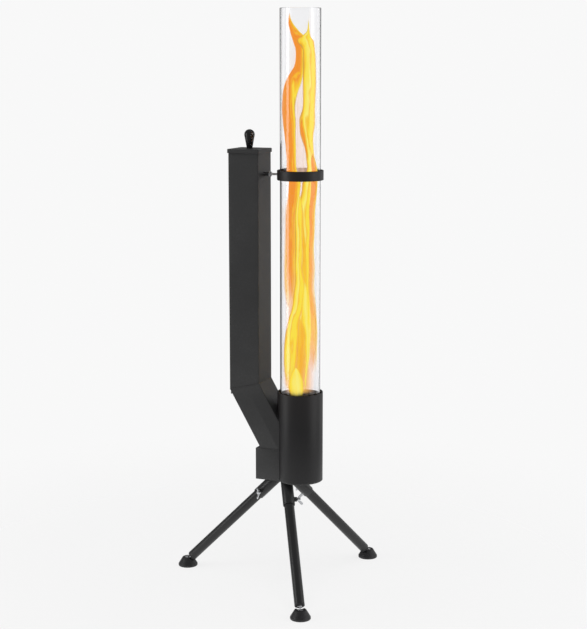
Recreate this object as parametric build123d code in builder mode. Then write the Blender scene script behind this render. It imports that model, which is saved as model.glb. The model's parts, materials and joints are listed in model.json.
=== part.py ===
"""Pellet-fired patio heater on a tripod.

A square hopper stands beside a round burner. Pellets slide down a slanted chute and a ramp into a
perforated pot, and the flame rises inside a long glass tube that a ring on the hopper steadies.
Three legs plug into sockets under the base plate, each held by a wing bolt, and end in swivel feet.

Millimetres, +Z up, floor at z = 0, +X from the hopper to the burner, symmetric about the XZ plane.
The origin is on the floor under the middle of the footprint.
"""

import os
from math import atan2, cos, degrees, hypot, radians, sin, tan

from build123d import *

os.makedirs("parts", exist_ok=True)

# --- Driving dimensions ------------------------------------------------------------------------
# Tripod
foot_circle_r = 278.0  # foot centres from the tripod's own axis
base_z = 270.0  # underside of the base plate above the floor
socket_root_r = 22.0  # where each leg's axis meets the underside of the base plate
leg_r = 12.5
leg_wall = 1.5
leg_clearance = 0.5  # leg in socket, on the radius
socket_wall = 2.0
socket_length = 73.0  # along its axis, below the base plate
bolt_from_end = 16.0  # wing bolt's place along the socket

# Burner
tube_offset = 40.5  # burner axis from the tripod's axis
housing_wall = 3.0
housing_top = 227.0  # rim above the underside of the base plate
plate_t = 3.0
glass_r = 50.0
glass_wall = 3.0
glass_length = 1000.0
glass_gap = 4.0  # glass to the inside of the housing and the ring
glass_depth = 59.0  # how far the glass stands inside the rim
guide_gap = 0.3  # glass to its pads and clips
rim_chamfer = 0.5
glass_chamfer = 0.4

# Hopper and chute
hopper_offset = 135.0  # hopper axis to burner axis
hopper_side = 80.0
sheet_t = 2.0
hopper_top = 828.0  # open top edge above the underside of the base plate
bend_height = 236.5  # middle of the bend above the underside of the base plate
chute_angle = 30.0  # from the vertical
box_height = 80.5
box_step = 13.5  # box stands out past the foot of the chute
tube_corner_r = 0.8

# Lid and knob
lid_t = 1.5
lid_gap = 0.6
lid_skirt = 10.0  # overall height of the lid
lid_corner_r = 1.5
lid_edge_r = 0.6
knob_height = 47.0
knob_r = 13.0
knob_neck_r = 6.8
knob_taper = 12.0  # degrees below the ball's middle at which the taper leaves the round end

# Slide gate
gate_drop = 12.0  # plate below the outer corner of the bend
gate_t = 2.5
gate_gap = 0.3
gate_side_gap = 0.6
gate_tab = 14.5  # finger tab outside the chute
tab_width = 36.0
tab_lip = 6.0
rail = 4.0

# Clamp ring on the hopper
ring_z = 768.0  # middle of the ring above the underside of the base plate
ring_height = 24.0
standoff_r = 5.0
standoff_length = 13.0

# Fire pot: its flange stands inside the glass, on the seat, and its wall hangs through the seat
flange_gap = 1.0  # pot's flange to the inside of the glass
flange_ledge = 4.0  # how far the flange rests on the seat
pot_gap = 2.0  # pot's wall to the seat's hole
pot_wall = 1.5
pot_height = 146.0
gasket_t = 2.0
seat_t = 4.0
grate_t = 2.0
window_top = 160.0  # feed window's top above the underside of the base plate
window_margin = 4.0  # housing's window to the inside of the chute, each side
pot_side = 10.0  # pot's window to the pot's side, each side
ramp_end_z = 30.0  # low end of the ramp above the underside of the base plate

# Small hardware: M6 throughout
thread_r = 3.0
thread_gap = 0.05
nut_af = 10.0
nut_t = 5.0
washer_r = 6.0
washer_t = 1.5
boss_r = 6.0
boss_height = 6.0

# Swivel feet
pad_r = 25.0
pad_height = 23.0
pad_top_r = 14.0
pad_bevel = 1.5
pad_band = 5.0  # height of the pad's upright band
pad_round = 3.0
ball_z = 14.5
ball_r = 6.0
ball_gap = 0.08
neck_r = 2.5
leg_start = 20.5  # ball centre to the end of the leg tube, along the leg
plug_flange = 3.0
plug_depth = 16.0
plug_chamfer = 1.2
foot_nut_t = 4.0
clip_r = 7.5
clip_t = 1.5

# --- Places worked out from them ---------------------------------------------------------------
tripod_x = foot_circle_r / 4  # centres the footprint on the origin
tube_x = tripod_x + tube_offset
hopper_x = tube_x - hopper_offset
half = hopper_side / 2
inner_half = half - sheet_t

housing_r = glass_r + glass_gap + housing_wall
pot_flange_r = glass_r - glass_wall - flange_gap
seat_inner_r = pot_flange_r - flange_ledge
pot_r = seat_inner_r - pot_gap
window_width = 2 * (inner_half - window_margin)
pot_window_width = 2 * (pot_r - pot_side)

rim_z = base_z + housing_top
glass_z = rim_z - glass_depth
floor_z = base_z + plate_t  # upper face of the base plate
hopper_top_z = base_z + hopper_top
bend_z = base_z + bend_height
box_top_z = base_z + box_height
ring_mid_z = base_z + ring_z

slope = tan(radians(chute_angle))
mitre_rise = half * tan(radians(chute_angle / 2))
outer_corner_z = bend_z - mitre_rise
inner_corner_z = bend_z + mitre_rise
slant_t = sheet_t / cos(radians(chute_angle))  # the chute's wall measured along X


def outer_x(z):
    """Outside face of the chute's lower wall at height z."""
    return hopper_x - half + (outer_corner_z - z) * slope


def inner_x(z):
    """Outside face of the chute's upper wall at height z."""
    return hopper_x + half + (inner_corner_z - z) * slope


box_x = outer_x(box_top_z) - box_step
gate_z = outer_corner_z - gate_drop

mitre_plane = Plane(
    origin=(hopper_x, 0, bend_z),
    x_dir=(0, 1, 0),
    z_dir=(-sin(radians(chute_angle / 2)), 0, cos(radians(chute_angle / 2))),
)
chute_plane = Plane(
    origin=(hopper_x, 0, bend_z),
    x_dir=(0, 1, 0),
    z_dir=(sin(radians(chute_angle)), 0, -cos(radians(chute_angle))),
)

leg_rise = base_z - ball_z
leg_run = foot_circle_r - socket_root_r
leg_angle = degrees(atan2(leg_rise, leg_run))
leg_axis_length = hypot(leg_rise, leg_run)
leg_inner_r = leg_r - leg_wall
socket_inner_r = leg_r + leg_clearance
socket_r = socket_inner_r + socket_wall
leg_top = leg_axis_length - leg_r / tan(radians(leg_angle)) - leg_clearance
socket_end = leg_axis_length - socket_length
bolt_station = socket_end + bolt_from_end
leg_azimuths = {"hopper": 180, "front": -60, "rear": 60}


def burner_plane(z):
    """Horizontal plane at height z, centred on the burner's axis."""
    return Plane(origin=(tube_x, 0, z))


def side_plane(y):
    """Upright plane at depth y, drawn in X and Z, looking towards -Y."""
    return Plane.XZ.offset(-y)


# --- Base and burner ---------------------------------------------------------------------------
vent_r = 4.5
vent_circle_r = pot_r
vent_count = 7
vent_spread = 150.0
vent_places = [vent_spread * (i / (vent_count - 1) - 0.5) for i in range(vent_count)]

with BuildPart() as base_plate:
    with BuildSketch(Plane.XY.offset(base_z)):
        with Locations((tube_x, 0)):
            Circle(housing_r)
        with Locations(((box_x + tube_x) / 2, 0)):
            Rectangle(tube_x - box_x, hopper_side)
    extrude(amount=plate_t)
    with BuildSketch(burner_plane(base_z)):
        for place in vent_places:
            with PolarLocations(vent_circle_r, 1, start_angle=place):
                Circle(vent_r)
    extrude(amount=plate_t, mode=Mode.SUBTRACT)
base_plate.part.label = "base_plate"
export_step(base_plate.part, "parts/base_plate.step")

window_z = base_z + ramp_end_z
window_height = base_z + window_top - window_z
with BuildPart() as burner_housing:
    with BuildSketch(burner_plane(floor_z)):
        Circle(housing_r)
        Circle(housing_r - housing_wall, mode=Mode.SUBTRACT)
    extrude(amount=rim_z - floor_z)
    chamfer(burner_housing.edges().group_by(Axis.Z)[-1], rim_chamfer)
    with BuildSketch(Plane.XY.offset(window_z)):
        with Locations((tube_x - housing_r / 2, 0)):
            Rectangle(housing_r, window_width)
    extrude(amount=window_height, mode=Mode.SUBTRACT)
burner_housing.part.label = "burner_housing"
export_step(burner_housing.part, "parts/burner_housing.step")

with BuildPart() as glass_seat:
    with BuildSketch(burner_plane(glass_z - gasket_t - seat_t)):
        Circle(housing_r - housing_wall)
        Circle(seat_inner_r, mode=Mode.SUBTRACT)
    extrude(amount=seat_t)
glass_seat.part.label = "glass_seat"
export_step(glass_seat.part, "parts/glass_seat.step")

with BuildPart() as glass_gasket:
    with BuildSketch(burner_plane(glass_z - gasket_t)):
        Circle(glass_r)
        Circle(pot_flange_r + gate_gap, mode=Mode.SUBTRACT)
    extrude(amount=gasket_t)
glass_gasket.part.label = "glass_gasket"
export_step(glass_gasket.part, "parts/glass_gasket.step")

with BuildPart() as glass_tube:
    with BuildSketch(burner_plane(glass_z)):
        Circle(glass_r)
        Circle(glass_r - glass_wall, mode=Mode.SUBTRACT)
    extrude(amount=glass_length)
    chamfer(glass_tube.edges().filter_by(GeomType.CIRCLE), glass_chamfer)
glass_tube.part.label = "glass_tube"
export_step(glass_tube.part, "parts/glass_tube.step")

# --- Fire pot, its grate and the ramp that feeds it ----------------------------------------------
pot_top_z = glass_z
pot_bottom_z = pot_top_z - pot_height
pot_lip = 5.0
air_hole_r = 2.5
air_holes = 16
air_rows = (35.0, 60.0, 85.0)  # above the pot's bottom
draught_rows = (125.0,)

with BuildPart() as fire_pot:
    with BuildSketch(burner_plane(pot_bottom_z)):
        Circle(pot_r)
        Circle(pot_r - pot_wall, mode=Mode.SUBTRACT)
    extrude(amount=pot_height)
    with BuildSketch(burner_plane(pot_bottom_z)):
        Circle(pot_r)
        Circle(pot_r - pot_wall - pot_lip, mode=Mode.SUBTRACT)
    extrude(amount=pot_wall)
    with BuildSketch(burner_plane(pot_top_z - gasket_t)):
        Circle(pot_flange_r)
        Circle(pot_r - pot_wall, mode=Mode.SUBTRACT)
    extrude(amount=gasket_t)
    with BuildSketch(Plane.XY.offset(window_z)):
        with Locations((tube_x - pot_r / 2, 0)):
            Rectangle(pot_r, pot_window_width)
    extrude(amount=window_height - seat_t - gasket_t, mode=Mode.SUBTRACT)
    for row in air_rows + draught_rows:
        for i in range(air_holes):
            turn = 360 * (i + 0.5) / air_holes
            outwards = (cos(radians(turn)), sin(radians(turn)), 0)
            hole_plane = Plane(origin=(tube_x, 0, pot_bottom_z + row), z_dir=outwards)
            with BuildSketch(hole_plane):
                Circle(air_hole_r)
            extrude(amount=pot_r + pot_wall, mode=Mode.SUBTRACT)
fire_pot.part.label = "fire_pot"
export_step(fire_pot.part, "parts/fire_pot.step")

grate_hole_r = 2.5
grate_pitch = 9.0  # from one ring of holes to the next
grate_first_r = 10.0
grate_rim = 3.0  # least solid width outside the last ring
grate_r = pot_r - pot_wall - gate_gap
grate_rings = int((grate_r - grate_rim - grate_hole_r - grate_first_r) // grate_pitch) + 1
with BuildPart() as fire_grate:
    with BuildSketch(burner_plane(pot_bottom_z + pot_wall)):
        Circle(grate_r)
        Circle(grate_hole_r, mode=Mode.SUBTRACT)
        for ring in range(grate_rings):
            with PolarLocations(grate_first_r + ring * grate_pitch, 6 * (ring + 1)):
                Circle(grate_hole_r, mode=Mode.SUBTRACT)
    extrude(amount=grate_t)
fire_grate.part.label = "fire_grate"
export_step(fire_grate.part, "parts/fire_grate.step")

ramp_top_x = outer_x(box_top_z) + slant_t
ramp_top_z = box_top_z - sheet_t
ramp_end_x = tube_x - pot_r - 2 * gate_gap
ramp_wide_x = tube_x - housing_r - gate_gap
ramp_drop = (ramp_top_z - window_z - sheet_t) / (ramp_end_x - ramp_top_x)
tongue_width = window_width - 4 * gate_gap


def ramp_z(x):
    """Upper face of the ramp at x."""
    return ramp_top_z - (x - ramp_top_x) * ramp_drop


with BuildPart() as feed_ramp:
    with BuildSketch(side_plane(inner_half)):
        Polygon(
            (ramp_top_x, ramp_z(ramp_top_x)),
            (ramp_wide_x, ramp_z(ramp_wide_x)),
            (ramp_wide_x, ramp_z(ramp_wide_x) - sheet_t),
            (ramp_top_x, ramp_z(ramp_top_x) - sheet_t),
            align=None,
        )
    extrude(amount=2 * inner_half)
    with BuildSketch(side_plane(tongue_width / 2)):
        Polygon(
            (ramp_wide_x - sheet_t, ramp_z(ramp_wide_x - sheet_t)),
            (ramp_end_x, ramp_z(ramp_end_x)),
            (ramp_end_x, ramp_z(ramp_end_x) - sheet_t),
            (ramp_wide_x - sheet_t, ramp_z(ramp_wide_x - sheet_t) - sheet_t),
            align=None,
        )
    extrude(amount=tongue_width)
feed_ramp.part.label = "feed_ramp"
export_step(feed_ramp.part, "parts/feed_ramp.step")

# --- Inlet box, chute and hopper -------------------------------------------------------------------
with BuildPart() as inlet_box:
    with BuildSketch(Plane.XY.offset(floor_z)):
        with Locations(((box_x + tube_x) / 2, 0)):
            Rectangle(tube_x - box_x, hopper_side)
    extrude(amount=box_top_z - floor_z)
    with BuildSketch(Plane.XY.offset(floor_z)):
        with Locations(((box_x + sheet_t + tube_x) / 2, 0)):
            Rectangle(tube_x - box_x - sheet_t, 2 * inner_half)
    extrude(amount=box_top_z - floor_z - sheet_t, mode=Mode.SUBTRACT)
    with BuildSketch(Plane.XY.offset(box_top_z - sheet_t)):
        with Locations(((ramp_top_x + tube_x) / 2, 0)):
            Rectangle(tube_x - ramp_top_x, 2 * inner_half)
    extrude(amount=sheet_t, mode=Mode.SUBTRACT)
    with BuildSketch(burner_plane(floor_z)):
        Circle(housing_r)
    extrude(amount=box_top_z - floor_z, mode=Mode.SUBTRACT)
inlet_box.part.label = "inlet_box"
export_step(inlet_box.part, "parts/inlet_box.step")

slot_height = gate_t + 2 * gate_gap
slot_width = 2 * inner_half - gate_gap
chute_reach = (bend_z - base_z) / cos(radians(chute_angle))
with BuildPart() as feed_chute:
    with BuildSketch(chute_plane.offset(-mitre_rise)):
        Rectangle(hopper_side, hopper_side)
        Rectangle(2 * inner_half, 2 * inner_half, mode=Mode.SUBTRACT)
    extrude(amount=chute_reach)
    split(bisect_by=mitre_plane, keep=Keep.BOTTOM)
    split(bisect_by=Plane.XY.offset(box_top_z), keep=Keep.TOP)
    with BuildSketch(burner_plane(floor_z)):
        Circle(housing_r)
    extrude(amount=rim_z - floor_z, mode=Mode.SUBTRACT)
    with BuildSketch(Plane.XY.offset(gate_z - slot_height / 2)):
        with Locations((outer_x(gate_z), 0)):
            Rectangle(3 * slant_t, slot_width)
    extrude(amount=slot_height, mode=Mode.SUBTRACT)
feed_chute.part.label = "feed_chute"
export_step(feed_chute.part, "parts/feed_chute.step")

with BuildPart() as hopper_tube:
    with BuildSketch(Plane(origin=(hopper_x, 0, outer_corner_z))):
        Rectangle(hopper_side, hopper_side)
        Rectangle(2 * inner_half, 2 * inner_half, mode=Mode.SUBTRACT)
    extrude(amount=hopper_top_z - outer_corner_z)
    split(bisect_by=mitre_plane, keep=Keep.TOP)
    fillet(hopper_tube.edges().filter_by(Axis.Z).group_by(SortBy.LENGTH)[0], tube_corner_r)
hopper_tube.part.label = "hopper_tube"
export_step(hopper_tube.part, "parts/hopper_tube.step")

# --- Slide gate ------------------------------------------------------------------------------------
plate_low = gate_z - gate_t / 2
plate_high = gate_z + gate_t / 2
gate_width = slot_width - 2 * gate_side_gap
gate_end_x = inner_x(plate_high) - slant_t - 1.0
gate_start_x = outer_x(gate_z)
tab_end_x = gate_start_x - gate_tab
with BuildPart() as gate_plate:
    with BuildSketch(Plane.XY.offset(plate_low)):
        with Locations(((gate_start_x + gate_end_x) / 2, 0)):
            Rectangle(gate_end_x - gate_start_x, gate_width)
        with Locations(((gate_start_x + tab_end_x) / 2, 0)):
            Rectangle(gate_tab, tab_width)
    extrude(amount=gate_t)
    with BuildSketch(Plane.XY.offset(plate_high)):
        with Locations((tab_end_x + gate_t / 2, 0)):
            Rectangle(gate_t, tab_width)
    extrude(amount=-tab_lip)
    fillet(gate_plate.edges().filter_by(Axis.Y).group_by(Axis.X)[0].sort_by(Axis.Z)[-1], gate_t / 2)
gate_plate.part.label = "gate_plate"
export_step(gate_plate.part, "parts/gate_plate.step")

with BuildPart() as gate_rails:
    for low, high in (
        (plate_low - gate_gap - rail, plate_low - gate_gap),
        (plate_high + gate_gap, plate_high + gate_gap + rail),
    ):
        with BuildSketch(side_plane(inner_half)):
            Polygon(
                (outer_x(low) + slant_t, low),
                (inner_x(low) - slant_t, low),
                (inner_x(high) - slant_t, high),
                (outer_x(high) + slant_t, high),
                align=None,
            )
        extrude(amount=rail)
    mirror(about=Plane.XZ)
gate_rails.part.label = "gate_rails"
export_step(gate_rails.part, "parts/gate_rails.step")

# --- Lid, knob and its screw -----------------------------------------------------------------------
lid_side = hopper_side + 2 * (lid_gap + lid_t)
lid_top_z = hopper_top_z + lid_t
screw_head_r = 5.0
screw_head_t = 3.5
screw_head_round = 1.5
screw_drive_r = 2.0
screw_depth = 20.0
screw_end_gap = 1.0

with BuildPart() as hopper_lid:
    with BuildSketch(Plane(origin=(hopper_x, 0, lid_top_z))):
        RectangleRounded(lid_side, lid_side, lid_corner_r)
    extrude(amount=-lid_skirt)
    with BuildSketch(Plane(origin=(hopper_x, 0, hopper_top_z))):
        Rectangle(hopper_side + 2 * lid_gap, hopper_side + 2 * lid_gap)
    extrude(amount=-lid_skirt, mode=Mode.SUBTRACT)
    fillet(hopper_lid.edges().group_by(Axis.Z)[-1], lid_edge_r)
    with BuildSketch(Plane(origin=(hopper_x, 0, hopper_top_z))):
        Circle(thread_r + thread_gap)
    extrude(amount=lid_t, mode=Mode.SUBTRACT)
hopper_lid.part.label = "hopper_lid"
export_step(hopper_lid.part, "parts/hopper_lid.step")

knob_axis = Axis((hopper_x, 0, 0), (0, 0, 1))
knob_ball_z = lid_top_z + knob_height - knob_r
knob_tangent = radians(knob_taper)
with BuildPart() as lid_knob:
    with BuildSketch(Plane.XZ):
        with BuildLine():
            taper_end = (
                hopper_x + knob_r * cos(knob_tangent),
                knob_ball_z - knob_r * sin(knob_tangent),
            )
            crown = (hopper_x, knob_ball_z + knob_r)
            Line((hopper_x, lid_top_z), (hopper_x + knob_neck_r, lid_top_z))
            Line((hopper_x + knob_neck_r, lid_top_z), taper_end)
            ThreePointArc(
                taper_end,
                (hopper_x + knob_r * cos(radians(45)), knob_ball_z + knob_r * sin(radians(45))),
                crown,
            )
            Line(crown, (hopper_x, lid_top_z))
        make_face()
    revolve(axis=knob_axis)
    with BuildSketch(Plane(origin=(hopper_x, 0, lid_top_z))):
        Circle(thread_r + thread_gap)
    extrude(amount=screw_depth, mode=Mode.SUBTRACT)
lid_knob.part.label = "lid_knob"
export_step(lid_knob.part, "parts/lid_knob.step")

with BuildPart() as lid_screw:
    with BuildSketch(Plane(origin=(hopper_x, 0, hopper_top_z))):
        Circle(thread_r)
    extrude(amount=lid_t + screw_depth - screw_end_gap)
    with BuildSketch(Plane(origin=(hopper_x, 0, hopper_top_z))):
        Circle(screw_head_r)
    extrude(amount=-screw_head_t)
    fillet(lid_screw.edges().group_by(Axis.Z)[0], screw_head_round)
    with BuildSketch(Plane(origin=(hopper_x, 0, hopper_top_z - screw_head_t))):
        RegularPolygon(screw_drive_r, 6)
    extrude(amount=screw_drive_r, mode=Mode.SUBTRACT)
lid_screw.part.label = "lid_screw"
export_step(lid_screw.part, "parts/lid_screw.step")

# --- Ring that steadies the glass, and its rod to the hopper -----------------------------------------
ring_low = ring_mid_z - ring_height / 2
ring_inner_r = housing_r - housing_wall
hopper_face_x = hopper_x + half
washer_x = hopper_face_x + standoff_length
nut_x = washer_x + washer_t
rod_start_x = hopper_face_x + thread_gap
rod_end_x = tube_x - ring_inner_r
pad_width = 14.0
pad_height_on_ring = 18.0
clip_width = 10.0
clip_height = 20.0
clip_below_rim = 5.0
clip_turn = 95.0


def across(x):
    """Upright plane at x, facing +X, centred on the ring's rod."""
    return Plane(origin=(x, 0, ring_mid_z), x_dir=(0, 1, 0), z_dir=(1, 0, 0))


with BuildPart() as clamp_ring:
    with BuildSketch(burner_plane(ring_low)):
        Circle(housing_r)
        Circle(ring_inner_r, mode=Mode.SUBTRACT)
    extrude(amount=ring_height)
    chamfer(clamp_ring.edges().filter_by(GeomType.CIRCLE), rim_chamfer)
    with BuildSketch(across(tube_x - housing_r - housing_wall)):
        Circle(thread_r + thread_gap)
    extrude(amount=3 * housing_wall, mode=Mode.SUBTRACT)
clamp_ring.part.label = "clamp_ring"
export_step(clamp_ring.part, "parts/clamp_ring.step")

# Pads in the ring and spring clips in the rim: three upright strips each, filling the gap round the glass
spacer_sets = {
    "ring_pads": (ring_mid_z - pad_height_on_ring / 2, pad_height_on_ring, pad_width, 60.0),
    "rim_clips": (rim_z - clip_below_rim - clip_height, clip_height, clip_width, clip_turn),
}
for name, (low, height, width, turn) in spacer_sets.items():
    with BuildPart() as spacers:
        for i in range(3):
            with BuildSketch(burner_plane(low).rotated((0, 0, turn + 120 * i))):
                with Locations(((glass_r + ring_inner_r) / 2, 0)):
                    Rectangle(ring_inner_r - glass_r + 2 * housing_wall, width)
            extrude(amount=height)
        with BuildSketch(burner_plane(low)):
            Circle(glass_r + guide_gap)
        extrude(amount=height, mode=Mode.SUBTRACT)
        with BuildSketch(burner_plane(low)):
            Circle(ring_inner_r)
        extrude(amount=height, mode=Mode.INTERSECT)
    spacers.part.label = name
    export_step(spacers.part, f"parts/{name}.step")

with BuildPart() as ring_standoff:
    with BuildSketch(across(hopper_face_x)):
        Circle(standoff_r)
        Circle(thread_r + thread_gap, mode=Mode.SUBTRACT)
    extrude(amount=standoff_length)
ring_standoff.part.label = "ring_standoff"
export_step(ring_standoff.part, "parts/ring_standoff.step")

with BuildPart() as ring_rod:
    with BuildSketch(across(rod_start_x)):
        Circle(thread_r)
    extrude(amount=rod_end_x - rod_start_x)
ring_rod.part.label = "ring_rod"
export_step(ring_rod.part, "parts/ring_rod.step")

with BuildPart() as ring_washer:
    with BuildSketch(across(washer_x)):
        Circle(washer_r)
        Circle(thread_r + thread_gap, mode=Mode.SUBTRACT)
    extrude(amount=washer_t)
ring_washer.part.label = "ring_washer"
export_step(ring_washer.part, "parts/ring_washer.step")

with BuildPart() as ring_nut:
    with BuildSketch(across(nut_x)):
        RegularPolygon(nut_af / 2, 6, major_radius=False)
        Circle(thread_r + thread_gap, mode=Mode.SUBTRACT)
    extrude(amount=nut_t)
ring_nut.part.label = "ring_nut"
export_step(ring_nut.part, "parts/ring_nut.step")

# --- Legs, sockets, wing bolts and feet --------------------------------------------------------------
pad_recess_r = clip_r + 0.5
pad_recess_z = pad_height - clip_t
swivel_cone_r = 2.9  # the foot's opening at the ball's middle, and how it widens along the leg
swivel_cone_rate = 0.55
swivel_cone_length = 40.0
swivel_cone = (
    (0, 0),
    (swivel_cone_r, 0),
    (swivel_cone_r + swivel_cone_rate * swivel_cone_length, swivel_cone_length),
    (0, swivel_cone_length),
)
stud_end = leg_start + plug_depth - 2.0
wing_hub_r = 4.5
wing_hub_length = 8.0
wing_gap = 1.5  # hub above the boss when tight
wing_t = 2.5
wing_root = (3.0, 3.5, 3.0)  # out along the bolt, sideways, radius
wing_tip = (11.0, 11.5, 3.5)
tip_gap = 0.25
boss_hole_gap = 0.3

boss_solids = []
for name, azimuth in leg_azimuths.items():
    outwards = Vector(cos(radians(azimuth)), sin(radians(azimuth)), 0)
    side = Vector(-sin(radians(azimuth)), cos(radians(azimuth)), 0)
    upwards = Vector(0, 0, sin(radians(leg_angle))) - outwards * cos(radians(leg_angle))
    ball = Vector(tripod_x, 0, ball_z) + outwards * foot_circle_r
    foot = Vector(ball.X, ball.Y, 0)
    leg_plane = Plane(origin=ball, x_dir=side, z_dir=upwards)
    leg_profile = Plane(origin=ball, x_dir=side, z_dir=side.cross(upwards))
    leg_axis = Axis(ball, upwards)
    foot_profile = Plane(origin=foot, x_dir=side, z_dir=side.cross(Vector(0, 0, 1)))
    foot_axis = Axis(foot, (0, 0, 1))
    bolt_point = ball + upwards * bolt_station
    bolt_plane = Plane(origin=bolt_point, x_dir=(0, 0, 1), z_dir=side)
    wing_plane = Plane(origin=bolt_point, x_dir=side, z_dir=side.cross(Vector(0, 0, 1)))

    with BuildPart() as leg_tube:
        with BuildSketch(leg_plane.offset(leg_start)):
            Circle(leg_r)
            Circle(leg_inner_r, mode=Mode.SUBTRACT)
        extrude(amount=leg_top - leg_start)
    leg_tube.part.label = f"leg_tube_{name}"
    export_step(leg_tube.part, f"parts/leg_tube_{name}.step")

    with BuildPart() as leg_plug:
        with BuildSketch(leg_plane.offset(leg_start - plug_flange)):
            Circle(leg_r)
        extrude(amount=plug_flange)
        with BuildSketch(leg_plane.offset(leg_start)):
            Circle(leg_inner_r - thread_gap)
        extrude(amount=plug_depth)
        chamfer(leg_plug.faces().sort_by(leg_axis)[0].edges(), plug_chamfer)
        with BuildSketch(leg_plane.offset(leg_start - plug_flange)):
            Circle(thread_r + thread_gap)
        extrude(amount=plug_flange + plug_depth, mode=Mode.SUBTRACT)
    leg_plug.part.label = f"leg_plug_{name}"
    export_step(leg_plug.part, f"parts/leg_plug_{name}.step")

    nut_top = leg_start - plug_flange
    shank_start = nut_top - foot_nut_t - 1.0
    with BuildPart() as foot_stud:
        with BuildSketch(leg_profile):
            with BuildLine():
                ball_neck = (neck_r, (ball_r**2 - neck_r**2) ** 0.5)
                ThreePointArc((0, -ball_r), (ball_r, 0), ball_neck)
                Polyline(
                    ball_neck,
                    (neck_r, shank_start - (thread_r - neck_r)),
                    (thread_r, shank_start),
                    (thread_r, stud_end),
                    (0, stud_end),
                    (0, -ball_r),
                )
            make_face()
        revolve(axis=leg_axis)
    foot_stud.part.label = f"foot_stud_{name}"
    export_step(foot_stud.part, f"parts/foot_stud_{name}.step")

    with BuildPart() as foot_nut:
        with BuildSketch(leg_plane.offset(nut_top - foot_nut_t)):
            RegularPolygon(nut_af / 2, 6, major_radius=False)
            Circle(thread_r + thread_gap, mode=Mode.SUBTRACT)
        extrude(amount=foot_nut_t)
    foot_nut.part.label = f"foot_nut_{name}"
    export_step(foot_nut.part, f"parts/foot_nut_{name}.step")

    with BuildPart() as foot_pad:
        with BuildSketch(foot_profile):
            with BuildLine():
                Polyline(
                    (0, 0),
                    (pad_r - pad_bevel, 0),
                    (pad_r, pad_bevel),
                    (pad_r, pad_band),
                    (pad_top_r, pad_height),
                    (0, pad_height),
                    (0, 0),
                )
            make_face()
        revolve(axis=foot_axis)
        rims = foot_pad.edges().filter_by(GeomType.CIRCLE).group_by(Axis.Z)
        fillet(rims[-1], pad_round)
        with BuildSketch(Plane(origin=(foot.X, foot.Y, pad_height))):
            Circle(pad_recess_r)
        extrude(amount=-clip_t, mode=Mode.SUBTRACT)
        with BuildSketch(leg_profile):
            with BuildLine():
                CenterArc((0, 0), ball_r + ball_gap, -90, 180)
                Line((0, ball_r + ball_gap), (0, -ball_r - ball_gap))
            make_face()
        revolve(axis=leg_axis, mode=Mode.SUBTRACT)
        with BuildSketch(leg_profile):
            Polygon(*swivel_cone, align=None)
        revolve(axis=leg_axis, mode=Mode.SUBTRACT)
    foot_pad.part.label = f"foot_pad_{name}"
    export_step(foot_pad.part, f"parts/foot_pad_{name}.step")

    with BuildPart() as foot_clip:
        with BuildSketch(Plane(origin=(foot.X, foot.Y, pad_recess_z))):
            Circle(clip_r)
        extrude(amount=clip_t)
        with BuildSketch(leg_profile):
            Polygon(*swivel_cone, align=None)
        revolve(axis=leg_axis, mode=Mode.SUBTRACT)
    foot_clip.part.label = f"foot_clip_{name}"
    export_step(foot_clip.part, f"parts/foot_clip_{name}.step")

    with BuildPart() as leg_socket:
        with BuildSketch(leg_plane.offset(socket_end)):
            Circle(socket_r)
            Circle(socket_inner_r, mode=Mode.SUBTRACT)
        extrude(amount=socket_length + 2 * socket_r)
        split(bisect_by=Plane.XY.offset(base_z), keep=Keep.BOTTOM)
        for turn in (-60, 60):
            edge = outwards.rotate(Axis.Z, turn)
            normal = edge.cross(Vector(0, 0, 1)) * (1 if turn < 0 else -1)
            split(bisect_by=Plane(origin=(tripod_x, 0, 0), z_dir=normal), keep=Keep.BOTTOM)
        with BuildSketch(bolt_plane):
            Circle(thread_r + boss_hole_gap)
        extrude(amount=socket_r, mode=Mode.SUBTRACT)
    leg_socket.part.label = f"leg_socket_{name}"
    export_step(leg_socket.part, f"parts/leg_socket_{name}.step")

    with BuildPart() as boss:
        with BuildSketch(bolt_plane):
            Circle(boss_r)
        extrude(amount=socket_r + boss_height)
        with BuildSketch(leg_plane):
            Circle(socket_r)
        extrude(amount=leg_axis_length, mode=Mode.SUBTRACT)
        with BuildSketch(bolt_plane):
            Circle(thread_r)
        extrude(amount=socket_r + boss_height, mode=Mode.SUBTRACT)
    boss_solids.append(boss.part.solids()[0])

    hub_start = socket_r + boss_height + wing_gap
    with BuildPart() as wing_bolt:
        with BuildSketch(bolt_plane.offset(leg_r + tip_gap)):
            Circle(thread_r - thread_gap)
        extrude(amount=hub_start - leg_r - tip_gap)
        with BuildSketch(bolt_plane.offset(hub_start)):
            Circle(wing_hub_r)
        extrude(amount=wing_hub_length)
        for flip in (-1, 1):
            with BuildSketch(wing_plane):
                for out, across_bolt, radius in (wing_root, wing_tip):
                    with Locations((hub_start + out, flip * across_bolt)):
                        Circle(radius)
                make_hull()
            extrude(amount=wing_t / 2, both=True)
    wing_bolt.part.label = f"wing_bolt_{name}"
    export_step(wing_bolt.part, f"parts/wing_bolt_{name}.step")

with BuildPart() as socket_bosses:
    for solid in boss_solids:
        add(solid)
socket_bosses.part.label = "socket_bosses"
export_step(socket_bosses.part, "parts/socket_bosses.step")
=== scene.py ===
"""Pellet-fired patio heater: its visible pieces, their finishes, the fire and a plain pale studio.

Metres, +Z up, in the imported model's own frame. Every place comes from the frame's boxes and joints,
and the panel's values hold what the frame doesn't say: edge radii, weld sizes, colours, light.
"""

import json
from math import acos, ceil, cos, pi, radians, sin, sqrt, tan, tau

import bmesh
import bpy
from bpy.props import FloatProperty, FloatVectorProperty, IntProperty, PointerProperty
from mathutils import Matrix, Vector


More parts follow.
